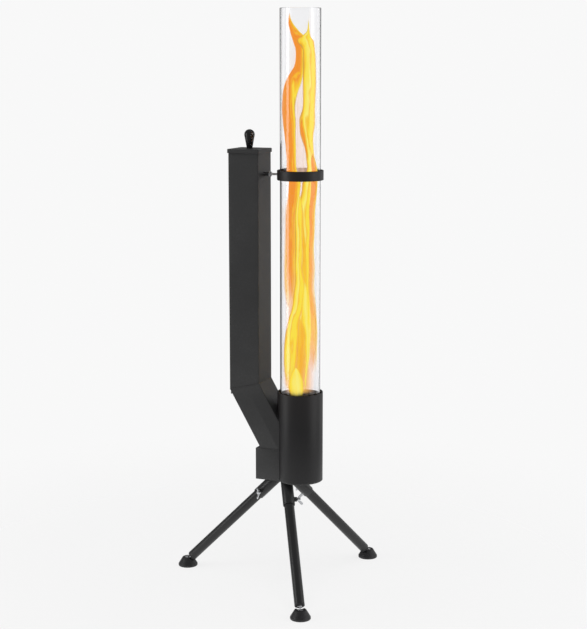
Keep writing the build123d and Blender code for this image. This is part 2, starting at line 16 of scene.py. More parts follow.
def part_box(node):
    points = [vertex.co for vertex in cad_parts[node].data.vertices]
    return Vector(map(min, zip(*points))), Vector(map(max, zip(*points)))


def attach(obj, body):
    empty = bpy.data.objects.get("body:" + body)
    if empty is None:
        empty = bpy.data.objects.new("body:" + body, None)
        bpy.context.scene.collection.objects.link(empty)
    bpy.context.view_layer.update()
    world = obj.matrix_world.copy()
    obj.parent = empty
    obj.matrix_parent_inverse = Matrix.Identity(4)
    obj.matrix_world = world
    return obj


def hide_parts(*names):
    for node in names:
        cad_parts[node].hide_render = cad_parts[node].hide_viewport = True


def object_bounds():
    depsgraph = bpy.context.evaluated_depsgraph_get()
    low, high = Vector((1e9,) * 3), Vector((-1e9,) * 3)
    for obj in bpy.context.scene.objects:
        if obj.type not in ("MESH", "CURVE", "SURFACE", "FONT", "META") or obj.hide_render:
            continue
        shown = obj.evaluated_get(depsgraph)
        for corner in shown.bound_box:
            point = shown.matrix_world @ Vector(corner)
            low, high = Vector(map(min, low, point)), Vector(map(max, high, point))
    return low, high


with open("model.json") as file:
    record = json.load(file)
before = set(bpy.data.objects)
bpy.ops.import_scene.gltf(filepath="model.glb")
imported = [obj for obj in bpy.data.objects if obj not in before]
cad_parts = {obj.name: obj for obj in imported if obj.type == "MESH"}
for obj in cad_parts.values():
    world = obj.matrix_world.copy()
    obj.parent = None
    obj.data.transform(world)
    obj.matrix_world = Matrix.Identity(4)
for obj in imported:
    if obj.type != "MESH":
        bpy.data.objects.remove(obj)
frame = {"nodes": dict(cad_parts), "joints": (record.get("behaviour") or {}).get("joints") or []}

bl_info = {
    "name": "Patio Heater",
    "version": (1, 0, 0),
    "blender": (4, 5, 0),
    "location": "View3D > Sidebar > Heater",
    "description": "Builds a pellet-fired patio heater's visible pieces round its packed frame",
    "category": "Object",
}

MM = 0.001
Z_AXIS = Vector((0, 0, 1))
SMALL_EASE = 0.3 * MM  # rounding of hidden and machined edges
FINE_EASE = 0.2 * MM
GATE_SIDE_GAP = 0.6 * MM
KNOB_TAPER = radians(12)
LEG_SIDES, SOCKET_SIDES, FOOT_SIDES = 72, 96, 96
HUB_SIDES, BOSS_SEAM_SIDES = 48, 32
THREAD_FIT = 0.05 * MM  # between a thread and its hole, and a plug and its tube
THREAD_CLEAR = 0.1 * MM
SOCKET_CLEAR = 0.5 * MM
CLIP_CLEAR = 0.5 * MM
SEAM_STEP = 0.2 * MM  # how far a boss sinks into its socket, and its bead stands out of it


# --- Places read from the frame -----------------------------------------------------------------
def middle(node):
    """The middle of a node's box."""
    low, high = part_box(node)
    return (low + high) / 2


def span(node, place):
    """Lowest and highest corner of a node, measured in a placed frame."""
    inward = place.inverted()
    seen = [inward @ v.co for v in frame["nodes"][node].data.vertices]
    return tuple(Vector(pick(p[i] for p in seen) for i in range(3)) for pick in (min, max))


def placed(origin, axis, sideways=None):
    """Frame at origin whose Z runs along axis, with X as near to sideways as it can be."""
    up = Vector(axis).normalized()
    across = Vector(sideways) if sideways is not None else Vector((0, 1, 0))
    right = (across - up * across.dot(up)).normalized()
    turned = Matrix((right, up.cross(right), up)).transposed().to_4x4()
    return Matrix.Translation(origin) @ turned


trees = {}  # node trees by name
joints = {joint["name"]: joint for joint in frame["joints"]}
cad_low, cad_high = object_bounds()

plate_low, plate_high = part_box("base_plate")
shell_low, shell_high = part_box("burner_housing")
glass_low, glass_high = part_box("glass_tube")
hopper_low, hopper_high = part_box("hopper_tube")
ring_low, ring_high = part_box("clamp_ring")
seat_low, seat_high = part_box("glass_seat")

BASE_Z = plate_low.z
FLOOR_Z = plate_high.z
RIM_Z = shell_high.z
SHELL_R = (shell_high.y - shell_low.y) / 2
SHELL_WALL = SHELL_R - (seat_high.y - seat_low.y) / 2
TUBE = middle("glass_tube").xy
GLASS_R = (glass_high.y - glass_low.y) / 2
HOPPER_HALF = (hopper_high.y - hopper_low.y) / 2
HOPPER_X = (hopper_low.x + hopper_high.x) / 2
HOPPER_TOP = hopper_high.z
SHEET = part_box("gate_rails")[0].y - hopper_low.y
BOX_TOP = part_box("inlet_box")[1].z
THREAD_R = (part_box("ring_rod")[1].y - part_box("ring_rod")[0].y) / 2
burner_axis = Matrix.Translation((TUBE.x, TUBE.y, 0))
hopper_axis = Matrix.Translation((HOPPER_X, 0, 0))

LEG_NAMES = [name.removeprefix("leg_pull_") for name in joints if name.startswith("leg_pull_")]
legs = {}
for leg_name in LEG_NAMES:
    ball = Vector(joints["foot_swivel_" + leg_name]["pos_m"])
    upwards = -Vector(joints["leg_pull_" + leg_name]["axis"])
    legs[leg_name] = placed(ball, upwards, Z_AXIS.cross(upwards))
TRIPOD_X = sum(place.translation.x for place in legs.values()) / len(legs)


# --- Values that the panel shows ----------------------------------------------------------------
def length(name, description, default):
    """A length in millimetres, kept in metres."""
    return FloatProperty(
        name=name, description=description, default=default * MM, min=0.0, unit="LENGTH",
        precision=4,
    )


def colour(name, description, default):
    """A linear colour without alpha."""
    return FloatVectorProperty(
        name=name, description=description, default=default, size=3, min=0.0, max=1.0,
        subtype="COLOR"
    )


class HeaterShape(bpy.types.PropertyGroup):
    """Sizes of edges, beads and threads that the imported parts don't carry."""

    corner: length("Tube corner", "Outside radius of the hopper's and chute's corners", 1.4)
    edge: length("Sheet edge", "Rounding of cut sheet edges", 0.45)
    rim_roll: length("Rim roll", "Rounding of the housing's and ring's edges", 1.1)
    polish: length("Glass edge", "Radius of the fire-polished glass edge", 1.3)
    weld_width: length("Weld width", "Width of the bead along each welded seam", 2.6)
    weld_step: length("Weld ripple", "Distance from one ripple of a bead to the next", 1.5)
    pitch: length("Thread pitch", "Pitch of the M6 threads", 1.0)
    thread_depth: length("Thread depth", "Height of the thread's ridge", 0.55)
    glass_wall: length("Glass wall", "Thickness of the glass tube", 3.0)
    leg_wall: length("Leg wall", "Thickness of the leg tubes", 1.5)
    knob_neck: length("Knob neck", "Radius of the knob's foot", 6.8)
    clip_r: length("Clip", "Radius of the washer that holds each foot's ball", 7.5)
    stud_neck: length("Stud neck", "Radius of the stud just above its ball", 2.5)
    boss_height: length("Boss", "Height of the wing bolt's boss above its socket", 6.0)
    wing_gap: length("Wing gap", "Wing bolt's hub above its boss when tight", 1.5)
    hub_r: length("Hub", "Radius of the wing bolt's hub", 4.5)
    hub_length: length("Hub length", "Length of the wing bolt's hub", 8.0)
    wing_t: length("Wing", "Thickness of the bolt's wings", 2.5)
    turned_sides: IntProperty(
        name="Round sides", description="Facets round the large turned pieces", default=144, min=24
    )


class HeaterColours(bpy.types.PropertyGroup):
    """Main colours of the finishes."""

    powder: colour("Powder coat", "Matt black coat on the hopper and chute", (0.039, 0.039, 0.0395))
    tube: colour("Tube paint", "Satin black on legs and sockets", (0.015, 0.015, 0.0155))
    heat_paint: colour("Heat paint", "Satin black on the burner", (0.0085, 0.0080, 0.0090))
    zinc: colour("Zinc", "Bright plated hardware", (0.72, 0.73, 0.75))
    steel: colour("Stainless", "Sheet of the fire pot and grate", (0.46, 0.44, 0.41))
    knob: colour("Knob", "Moulded knob", (0.008, 0.008, 0.009))
    foot: colour("Feet", "Moulded feet and plugs", (0.011, 0.011, 0.012))
    fibre: colour("Fibre", "Woven packing round the glass, sooted", (0.09, 0.082, 0.075))
    flame_peach: colour("Peach flame", "Thin haze at the flame's edges", (0.97, 0.46, 0.17))
    flame_deep: colour("Deep flame", "Orange of the left strand", (0.93, 0.29, 0.010))
    flame_gold: colour("Gold flame", "Between orange and yellow", (0.97, 0.54, 0.013))
    flame_yellow: colour("Yellow flame", "Main colour of the flame", (1.0, 0.77, 0.040))
    flame_pale: colour("Pale flame", "Bright yellow of the flame's core", (1.0, 0.89, 0.19))


class HeaterStudio(bpy.types.PropertyGroup):
    """Camera, floor and lights."""

    azimuth: FloatProperty(
        name="Azimuth", description="Camera's turn round the burner from the front",
        default=radians(22.01), subtype="ANGLE"
    )
    distance: FloatProperty(
        name="Distance", description="Camera to the burner's axis, along the floor",
        default=3.655, unit="LENGTH"
    )
    eye: FloatProperty(
        name="Eye height", description="Camera above the floor", default=1.336, unit="LENGTH"
    )
    pitch: FloatProperty(
        name="Pitch", description="How far the camera looks down", default=radians(9.99),
        subtype="ANGLE"
    )
    yaw: FloatProperty(
        name="Yaw", description="Camera's turn away from the burner", default=radians(0.26),
        subtype="ANGLE"
    )
    lens: FloatProperty(name="Lens", description="Focal length in millimetres", default=85.62)
    backdrop: FloatProperty(
        name="Backdrop", description="Brightness behind the heater", default=0.94, min=0.0
    )
    ambient: FloatProperty(
        name="Ambient", description="Brightness of the light from all round", default=0.27, min=0.0
    )
    floor: FloatProperty(
        name="Floor", description="How much light the floor gives back", default=0.2, min=0.0
    )
    floor_glow: FloatProperty(
        name="Floor glow", description="Brightness the floor has in shadow", default=0.79, min=0.0
    )
    side_light: FloatProperty(
        name="Right light", description="Power of the large soft light", default=7.0, unit="POWER"
    )
    strip_light: FloatProperty(
        name="Strip light", description="Power of the narrow front light", default=17.0,
        unit="POWER"
    )
    soft_light: FloatProperty(
        name="Soft light", description="Power of the broad light from the side", default=17.0,
        unit="POWER"
    )
    top_light: FloatProperty(
        name="Top light", description="Power of the light overhead", default=30.0, unit="POWER"
    )


# --- Shader maths -------------------------------------------------------------------------------
class Shade:
    """A shader socket that takes part in sums: each operator adds the Math node it needs."""

    def __init__(self, finish, socket):
        self.finish = finish
        self.socket = socket

    def maths(self, operation, first, second):
        return self.finish.node("Math", {"operation": operation}, {0: first, 1: second})

    def __add__(self, other):
        return self.maths("ADD", self, other)

    def __sub__(self, other):
        return self.maths("SUBTRACT", self, other)

    def __rsub__(self, other):
        return self.maths("SUBTRACT", other, self)

    def __mul__(self, other):
        return self.maths("MULTIPLY", self, other)

    def __pow__(self, other):
        return self.maths("POWER", self, other)

    __radd__ = __add__
    __rmul__ = __mul__


class Finish:
    """A material being written: its Principled shader and one method that adds any other node."""

    def __init__(self, name):
        self.material = bpy.data.materials.new(name)
        self.material.use_nodes = True
        self.tree = self.material.node_tree
        self.shader = self.tree.nodes["Principled BSDF"]

    def node(self, kind, settings, sockets, out=0):
        """Adds a node, its settings first, then its sockets' values or links."""
        made = self.tree.nodes.new("ShaderNode" + kind)
        for key, value in settings.items():
            if key == "stops":
                self.stops(made.color_ramp, value)
            else:
                setattr(made, key, value)
        for key, value in sockets.items():
            self.feed(made.inputs[key], value)
        return Shade(self, made.outputs[out])

    def stops(self, ramp, places):
        while len(ramp.elements) < len(places):
            ramp.elements.new(0.5)
        for element, (position, value) in zip(ramp.elements, places.items()):
            element.position = position
            element.color = (*value, 1.0)

    def feed(self, socket, value):
        if isinstance(value, Shade):
            self.tree.links.new(value.socket, socket)
        elif socket.type == "RGBA" and len(value) == 3:
            socket.default_value = (*value, 1.0)
        else:
            socket.default_value = value

    def surface(self, **sockets):
        """Feeds the Principled shader; a socket's name is written with underscores."""
        for key, value in sockets.items():
            title = key.replace("_", " ").title().replace("Ior", "IOR")
            self.feed(self.shader.inputs[title], value)

    def coordinates(self, kind="Object"):
        return self.node("TexCoord", {}, {}, kind)

    def noise(self, where, scale, detail=3.0, stretch=None):
        """Noise with so many features a metre, stretched along an axis if asked."""
        if stretch is not None:
            where = self.node("Mapping", {}, {"Vector": where, "Scale": stretch})
        return self.node("TexNoise", {}, {"Vector": where, "Scale": scale, "Detail": detail})

    def mix(self, share, first, second):
        """Colour between two colours."""
        return self.node("Mix", {"data_type": "RGBA"}, {0: share, 6: first, 7: second}, 2)

    def bump(self, height, strength, distance):
        return self.node(
            "Bump", {}, {"Height": height, "Strength": strength, "Distance": distance}
        )


finishes = {}


def scaled(colour_value, factor):
    return tuple(min(1.0, part * factor) for part in colour_value)


def powder_coat(name, base, roughness, grain_size):
    """Textured paint: a fine orange-peel grain, faint mottling, and rubbed edges."""
    coat = Finish(name)
    where = coat.coordinates()
    grain = coat.noise(where, 1 / grain_size, 4.0)
    mottling = coat.noise(where, 9.0, 4.0)
    dust = coat.noise(where, 240.0, 6.0)
    rubbed = coat.node("Attribute", {"attribute_name": "wear"}, {}, "Fac") * mottling * 0.9
    settled_dust = (dust * mottling) ** 3.0
    body = coat.mix(mottling, scaled(base, 0.82), scaled(base, 1.2))
    body = coat.mix(rubbed, body, scaled(base, 4.5))
    coat.surface(
        base_color=coat.mix(settled_dust, body, scaled(base, 5.0)),
        roughness=grain * 0.16 + mottling * 0.08 - rubbed * 0.15 + (roughness - 0.12),
        normal=coat.bump(grain, 0.22, 0.25 * MM),
        specular_ior_level=0.45,
    )
    return coat.material


def heat_paint(base):
    """Satin stove paint, a little browned and duller towards the fire."""
    paint = Finish("heat_paint")
    where = paint.coordinates()
    grain = paint.noise(where, 1500.0, 3.0)
    cloud = paint.noise(where, 14.0, 5.0)
    runs = paint.noise(where, 30.0, 4.0, (1.0, 1.0, 0.06))
    height = paint.node("SeparateXYZ", {}, {"Vector": where}, "Z")
    heat = paint.node(
        "MapRange", {"clamp": True},
        {"Value": height, "From Min": RIM_Z - 0.09, "From Max": RIM_Z,
         "To Min": 0.0, "To Max": 1.0},
    )
    rubbed = paint.node("Attribute", {"attribute_name": "wear"}, {}, "Fac") * cloud
    body = paint.mix(cloud, scaled(base, 0.85), scaled(base, 1.15))
    body = paint.mix(heat * runs, body, (0.020, 0.0155, 0.0150))
    paint.surface(
        base_color=paint.mix(rubbed, body, scaled(base, 5.0)),
        roughness=cloud * 0.10 + heat * runs * 0.16 + grain * 0.05 + 0.30,
        normal=paint.bump(grain, 0.10, 0.12 * MM),
        specular_ior_level=0.5,
    )
    return paint.material


def zinc_plate(base):
    """Bright zinc: a pale metal with fine machining marks and cloudy passivation."""
    zinc = Finish("zinc")
    where = zinc.coordinates()
    cloud = zinc.noise(where, 160.0, 4.0)
    marks = zinc.noise(where, 900.0, 2.0, (1.0, 1.0, 0.15))
    zinc.surface(
        base_color=zinc.mix(cloud, scaled(base, 0.86), scaled(base, 1.12)),
        metallic=1.0,
        roughness=cloud * 0.12 + marks * 0.10 + 0.20,
        normal=zinc.bump(marks, 0.12, 0.05 * MM),
    )
    return zinc.material


def hot_steel(base):
    """Stainless sheet with straw and blue heat tints that drift with height."""
    steel = Finish("stainless")
    where = steel.coordinates()
    brush = steel.noise(where, 1200.0, 2.0, (1.0, 1.0, 0.05))
    cloud = steel.noise(where, 22.0, 4.0)
    height = steel.node("SeparateXYZ", {}, {"Vector": where}, "Z")
    band = steel.node(
        "MapRange", {"clamp": True},
        {"Value": height + cloud * 0.05, "From Min": BASE_Z + 0.05, "From Max": RIM_Z,
         "To Min": 0.0, "To Max": 1.0},
    )
    tint = steel.node(
        "ValToRGB",
        {"stops": {0.0: base, 0.35: (0.47, 0.36, 0.20), 0.55: (0.25, 0.13, 0.10),
                   0.72: (0.09, 0.10, 0.17), 0.9: (0.14, 0.12, 0.10)}},
        {"Fac": band},
    )
    steel.surface(
        base_color=steel.mix(brush * 0.25, tint, (0.05, 0.045, 0.04)),
        metallic=1.0,
        roughness=cloud * 0.2 + brush * 0.12 + 0.25,
        normal=steel.bump(brush, 0.15, 0.06 * MM),
    )
    return steel.material


def clear_glass():
    """Borosilicate tube: clear, with the faintest smoke film, and painted shade: its colour turns
    dark where it is seen side on, standing in for the dark reflections at its edges.
    """
    glass = Finish("glass")
    where = glass.coordinates()
    film = glass.noise(where, 12.0, 3.0, (1.0, 1.0, 0.3))
    side_on = glass.node("LayerWeight", {}, {"Blend": 0.5}, "Facing")
    # Painted shade: the tube's colour is darkened where it is seen side on, in place of the dark that
    # its edges reflect.
    edge = glass.node(
        "MapRange", {"interpolation_type": "SMOOTHSTEP"},
        {"Value": side_on, "From Min": 0.64, "From Max": 0.92, "To Min": 0.0, "To Max": 1.0},
    )
    body = glass.mix(film, (0.985, 0.985, 0.99), (0.955, 0.955, 0.965))
    glass.surface(
        base_color=glass.mix(edge, body, (0.06, 0.06, 0.065)),
        roughness=film * 0.02,
        transmission_weight=1.0,
        ior=1.4,
    )
    return glass.material


def moulded(name, base, roughness, pebble):
    """Moulded plastic: an even body with a fine spark-eroded texture."""
    plastic = Finish(name)
    where = plastic.coordinates()
    skin = plastic.noise(where, 1 / pebble, 2.0)
    cloud = plastic.noise(where, 25.0, 3.0)
    scuffs = plastic.noise(where, 300.0, 5.0, (1.0, 0.2, 1.0)) ** 4.0
    plastic.surface(
        base_color=plastic.mix(scuffs, plastic.mix(cloud, scaled(base, 0.85), scaled(base, 1.2)),
                               scaled(base, 4.0)),
        roughness=cloud * 0.08 + scuffs * 0.3 + (roughness - 0.04),
        normal=plastic.bump(skin, 0.12, 0.08 * MM),
    )
    return plastic.material


def woven_fibre(base):
    """Glass-fibre tape: plain weave, a little singed."""
    fibre = Finish("fibre")
    where = fibre.coordinates()
    warp = fibre.node("TexWave", {"bands_direction": "Z"}, {"Vector": where, "Scale": 220.0})
    weft = fibre.node("TexWave", {"bands_direction": "DIAGONAL"}, {"Vector": where, "Scale": 160.0})
    weave = warp * 0.5 + weft * 0.5
    singe = fibre.noise(where, 60.0, 4.0)
    fibre.surface(
        base_color=fibre.mix(singe * singe * 1.6, fibre.mix(weave, scaled(base, 0.7), base),
                             scaled(base, 0.12)),
        roughness=weave * 0.1 + 0.85,
        normal=fibre.bump(weave, 0.5, 0.3 * MM),
    )
    return fibre.material


def fire_finish(name, stops, softness, cover):
    """Flame: colour runs across each ribbon, and its edges and ends thin out to nothing."""
    flame = Finish(name)
    uv = flame.coordinates("UV")
    where = flame.coordinates()
    across = flame.node("SeparateXYZ", {}, {"Vector": uv}, "X")
    streaks = flame.noise(where, 70.0, 3.0, (1.0, 1.0, 0.09))
    licks = flame.noise(where, 26.0, 3.0, (1.0, 1.0, 0.2))
    from_edge = flame.node(
        "Math", {"operation": "SUBTRACT"},
        {0: 0.5, 1: flame.node("Math", {"operation": "ABSOLUTE"}, {0: across - 0.5})},
    ) * 2.0
    soft = flame.node(
        "MapRange", {"interpolation_type": "SMOOTHSTEP"},
        {"Value": from_edge, "From Min": 0.0, "From Max": softness, "To Min": 0.0, "To Max": 1.0},
    )
    ends = flame.node("Attribute", {"attribute_name": "cover"}, {}, "Fac")
    colour_place = across + ((streaks - 0.5) * 1.3 + (licks - 0.5) * 0.7) * from_edge
    flame.surface(
        base_color=(0.0, 0.0, 0.0),
        roughness=1.0,
        specular_ior_level=0.0,
        emission_color=flame.node("ValToRGB", {"stops": stops}, {"Fac": colour_place}),
        emission_strength=1.0,
        alpha=soft * ends * cover,
    )
    return flame.material


def glowing_pellets():
    """Charred wood with a glow in the cracks."""
    ember = Finish("ember")
    where = ember.coordinates()
    cracks = ember.noise(where, 260.0, 5.0)
    glow = ember.node(
        "ValToRGB",
        {"stops": {0.0: (0.0, 0.0, 0.0), 0.48: (0.02, 0.002, 0.0), 0.62: (0.9, 0.16, 0.01),
                   0.8: (1.0, 0.55, 0.08)}},
        {"Fac": cracks},
    )
    ember.surface(
        base_color=ember.mix(cracks, (0.012, 0.010, 0.009), (0.09, 0.05, 0.03)),
        roughness=cracks * 0.2 + 0.75,
        emission_color=glow,
        emission_strength=2.0,
        normal=ember.bump(cracks, 0.6, 0.4 * MM),
    )
    return ember.material


# --- Mesh work ----------------------------------------------------------------------------------
def new_object(name, mesh):
    made = bpy.data.objects.new(name, mesh)
    bpy.context.scene.collection.objects.link(made)
    return made


def smoothed(mesh, angle=32.0):
    """Smooth shading that stays crisp at edges sharper than the angle."""
    mesh.shade_smooth()
    mesh.set_sharp_from_angle(angle=radians(angle))


def cleaned(shape, mesh):
    """Merges doubles, turns the faces outwards and writes the shape to the mesh."""
    bmesh.ops.remove_doubles(shape, verts=shape.verts, dist=0.002 * MM)
    bmesh.ops.dissolve_degenerate(shape, edges=shape.edges, dist=0.001 * MM)
    bmesh.ops.recalc_face_normals(shape, faces=shape.faces)
    shape.to_mesh(mesh)
    shape.free()
    mesh.update()


def stacked(name, rings, closed=False):
    """A skin over rings of equal count, capped at both ends unless it closes into itself."""
    count = len(rings[0])
    shape = bmesh.new()
    points = [[shape.verts.new(point) for point in ring] for ring in rings]
    for i in range(len(rings) - (0 if closed else 1)):
        low, high = points[i], points[(i + 1) % len(rings)]
        for j in range(count):
            k = (j + 1) % count
            shape.faces.new((low[j], low[k], high[k], high[j]))
    if not closed:
        shape.faces.new(points[0][::-1])
        shape.faces.new(points[-1])
    mesh = bpy.data.meshes.new(name)
    cleaned(shape, mesh)
    return mesh


def circle(radius, height, sides):
    return [
        Vector((radius * cos(tau * i / sides), radius * sin(tau * i / sides), height))
        for i in range(sides)
    ]


def rounded(corners, closed=False, steps=5):
    """The outline through corners of (x, y, radius), each rounded by an arc of its radius."""
    path = []
    count = len(corners)
    for i, (x, y, radius) in enumerate(corners):
        here = Vector((x, y))
        if radius <= 0 or (not closed and i in (0, count - 1)):
            path.append(here)
            continue
        back = Vector(corners[i - 1][:2]) - here
        ahead = Vector(corners[(i + 1) % count][:2]) - here
        turn = back.angle(ahead)
        reach = radius / tan(turn / 2)
        start = here + back.normalized() * reach
        bisector = (back.normalized() + ahead.normalized()).normalized()
        centre = here + bisector * (radius / sin(turn / 2))
        first, last = start - centre, here + ahead.normalized() * reach - centre
        swing = first.angle_signed(last)
        for step in range(steps + 1):
            share = step / steps
            spoke = first.copy()
            spoke.rotate(Matrix.Rotation(-swing * share, 2))
            path.append(centre + spoke)
    return path


def turned(name, outline, place, sides, closed=False, angle=32.0):
    """A lathe piece: the outline's x is the radius and its y the height along the frame's Z."""
    mesh = stacked(name, [circle(max(p.x, 0.0), p.y, sides) for p in outline], closed)
    mesh.transform(place)
    smoothed(mesh, angle)
    return mesh


def bowl(radius, sweep, steps):
    """Outline of a ball's lower part, from its lowest point outwards over an angle."""
    return [
        Vector((radius * sin(sweep * i / steps), -radius * cos(sweep * i / steps)))
        for i in range(steps + 1)
    ]


def lathe(name, outline, place, sides, closed=False, angle=32.0):
    """A lathe piece as an object."""
    return new_object(name, turned(name, outline, place, sides, closed, angle))


def pipe_section(outer, inner, low, high, foot, rim):
    """Section of a pipe wall between two heights, its edges rounded by foot below and rim above."""
    corners = [(outer, low, foot), (outer, high, rim), (inner, high, rim), (inner, low, foot)]
    return rounded(corners, closed=True)


def square(half, radius, per_side=10, arc=5):
    """Outline of a square with rounded corners, counter-clockwise, with points along its sides."""
    points = []
    flat = half - radius
    for quarter in range(4):
        spin = Matrix.Rotation(quarter * pi / 2, 2)
        for i in range(per_side):
            points.append(spin @ Vector((half, flat * (2 * i / per_side - 1))))
        for i in range(arc + 1):
            turn = pi / 2 * i / (arc + 1)
            points.append(spin @ Vector((flat + radius * cos(turn), flat + radius * sin(turn))))
    return points


def hex_nut(name, place, flats, height, bore, sides=48):
    """Hexagon nut with its corners chamfered top and bottom and a countersunk bore."""
    face_r = flats * 0.475
    slope = tan(radians(30))

    def hexagon(lift, sign):
        ring = []
        for i in range(sides):
            turn = tau * i / sides
            fold = (turn + pi / 6) % (pi / 3) - pi / 6
            radius = flats / 2 / cos(fold)
            drop = (radius - face_r) * slope
            ring.append(Vector((radius * cos(turn), radius * sin(turn), lift - sign * drop)))
        return ring

    sink = 0.4 * MM
    rings = [
        circle(bore, height - sink, sides), circle(bore + sink, height, sides),
        circle(face_r, height, sides), hexagon(height, 1), hexagon(0.0, -1),
        circle(face_r, 0.0, sides), circle(bore + sink, 0.0, sides), circle(bore, sink, sides),
    ]
    mesh = stacked(name, rings, closed=True)
    mesh.transform(place)
    smoothed(mesh, 20.0)
    return mesh


def joined(name, meshes):
    """One mesh out of several."""
    shape = bmesh.new()
    for mesh in meshes:
        shape.from_mesh(mesh)
        bpy.data.meshes.remove(mesh)
    made = bpy.data.meshes.new(name)
    shape.to_mesh(made)
    shape.free()
    return made


def settled(piece):
    """Turns a piece with modifiers into a plain mesh, and drops the modifiers."""
    graph = bpy.context.evaluated_depsgraph_get()
    mesh = bpy.data.meshes.new_from_object(piece.evaluated_get(graph))
    piece.modifiers.clear()
    piece.data = mesh
    return mesh


def cut(piece, cutters):
    """Takes the cutters' meshes out of a piece."""
    helpers = [new_object("cutter", mesh) for mesh in cutters]
    for helper in helpers:
        modifier = piece.modifiers.new("cut", "BOOLEAN")
        modifier.operation = "DIFFERENCE"
        modifier.solver = "EXACT"
        modifier.object = helper
    settled(piece)
    for helper in helpers:
        bpy.data.objects.remove(helper)


def eased(piece, width, angle=32.0):
    """Rounds a piece's sharp edges, and marks the narrow strips as the places that wear."""
    strips = bpy.data.materials.new("strips")
    piece.data.materials.clear()
    piece.data.materials.append(None)
    piece.data.materials.append(strips)
    bevel = piece.modifiers.new("edges", "BEVEL")
    bevel.width = width
    bevel.segments = 2
    bevel.limit_method = "ANGLE"
    bevel.angle_limit = radians(angle)
    bevel.material = 1
    bevel.use_clamp_overlap = True
    mesh = settled(piece)
    worn = [1.0 if face.material_index == 1 else 0.0 for face in mesh.polygons]
    for face in mesh.polygons:
        face.material_index = 0
    mesh.materials.clear()
    bpy.data.materials.remove(strips)
    mesh.attributes.new("wear", "FLOAT", "FACE").data.foreach_set("value", worn)
    smoothed(mesh)


def fitted(name, node):
    """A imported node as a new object, its triangles merged into clean faces."""
    shape = bmesh.new()
    shape.from_mesh(frame["nodes"][node].data)
    bmesh.ops.remove_doubles(shape, verts=shape.verts, dist=0.005 * MM)
    bmesh.ops.dissolve_limit(
        shape, angle_limit=radians(0.6), verts=shape.verts, edges=shape.edges
    )
    mesh = bpy.data.meshes.new(name)
    shape.to_mesh(mesh)
    shape.free()
    stale = ("custom_normal", "sharp_edge", "sharp_face")
    for layer in [a for a in mesh.attributes if a.name in stale]:
        mesh.attributes.remove(layer)
    return new_object(name, mesh)


def finished(piece, finish, body, slot, *nodes):
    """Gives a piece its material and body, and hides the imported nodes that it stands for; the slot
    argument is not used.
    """
    piece.data.materials.clear()
    piece.data.materials.append(finishes[finish])
    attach(piece, body)
    if nodes:
        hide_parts(*nodes)
    return piece


# --- Geometry node trees ------------------------------------------------------------------------
class Tree:
    """A geometry node tree with named inputs, ended by Realize Instances and Set Material."""

    def __init__(self, name, inputs):
        self.tree = bpy.data.node_groups.new(name, "GeometryNodeTree")
        sockets = self.tree.interface
        sockets.new_socket("Geometry", in_out="OUTPUT", socket_type="NodeSocketGeometry")
        sockets.new_socket("Geometry", in_out="INPUT", socket_type="NodeSocketGeometry")
        for key, kind in inputs.items():
            sockets.new_socket(key, in_out="INPUT", socket_type="NodeSocket" + kind)
        sockets.new_socket("Finish", in_out="INPUT", socket_type="NodeSocketMaterial")
        self.inputs = self.tree.nodes.new("NodeGroupInput").outputs

    def node(self, kind, settings, sockets, out=0):
        made = self.tree.nodes.new(kind)
        for key, value in settings.items():
            setattr(made, key, value)
        for key, value in sockets.items():
            if isinstance(value, bpy.types.NodeSocket):
                self.tree.links.new(value, made.inputs[key])
            else:
                made.inputs[key].default_value = value
        return made.outputs[out]

    def maths(self, operation, first, second):
        return self.node("ShaderNodeMath", {"operation": operation}, {0: first, 1: second})

    def end(self, geometry):
        real = self.node("GeometryNodeRealizeInstances", {}, {"Geometry": geometry})
        real = self.node(
            "GeometryNodeSetMaterial", {}, {"Geometry": real, "Material": self.inputs["Finish"]}
        )
        output = self.tree.nodes.new("NodeGroupOutput")
        self.tree.links.new(real, output.inputs["Geometry"])

    def grow(self, piece, finish, **values):
        """Runs the tree on a piece with these inputs and leaves a plain mesh."""
        modifier = piece.modifiers.new(self.tree.name, "NODES")
        modifier.node_group = self.tree
        for item in self.tree.interface.items_tree:
            if item.item_type == "SOCKET" and item.in_out == "INPUT":
                if item.name == "Finish":
                    modifier[item.identifier] = finishes[finish]
                elif item.name in values:
                    modifier[item.identifier] = values[item.name]
        return settled(piece)


def bead_tree():
    """Weld beads: overlapping flattened drops along every edge of the piece."""
    bead = Tree("weld_beads", {"Width": "Float", "Step": "Float"})
    path = bead.node("GeometryNodeMeshToCurve", {}, {"Mesh": bead.inputs["Geometry"]})
    path = bead.node(
        "GeometryNodeResampleCurve", {"mode": "LENGTH"},
        {"Curve": path, "Length": bead.inputs["Step"]},
    )
    tangent = bead.node("GeometryNodeInputTangent", {}, {})
    drop = bead.node(
        "GeometryNodeMeshUVSphere", {}, {"Segments": 8, "Rings": 5, "Radius": bead.inputs["Width"]}
    )
    slim = bead.node("GeometryNodeTransform", {}, {"Geometry": drop, "Scale": (0.5, 0.5, 0.62)})
    smooth = bead.node("GeometryNodeSetShadeSmooth", {}, {"Geometry": slim})
    turn = bead.node("FunctionNodeAlignRotationToVector", {"axis": "Z"}, {"Vector": tangent})
    bead.end(bead.node(
        "GeometryNodeInstanceOnPoints", {},
        {"Points": path, "Instance": smooth, "Rotation": turn},
    ))
    return bead


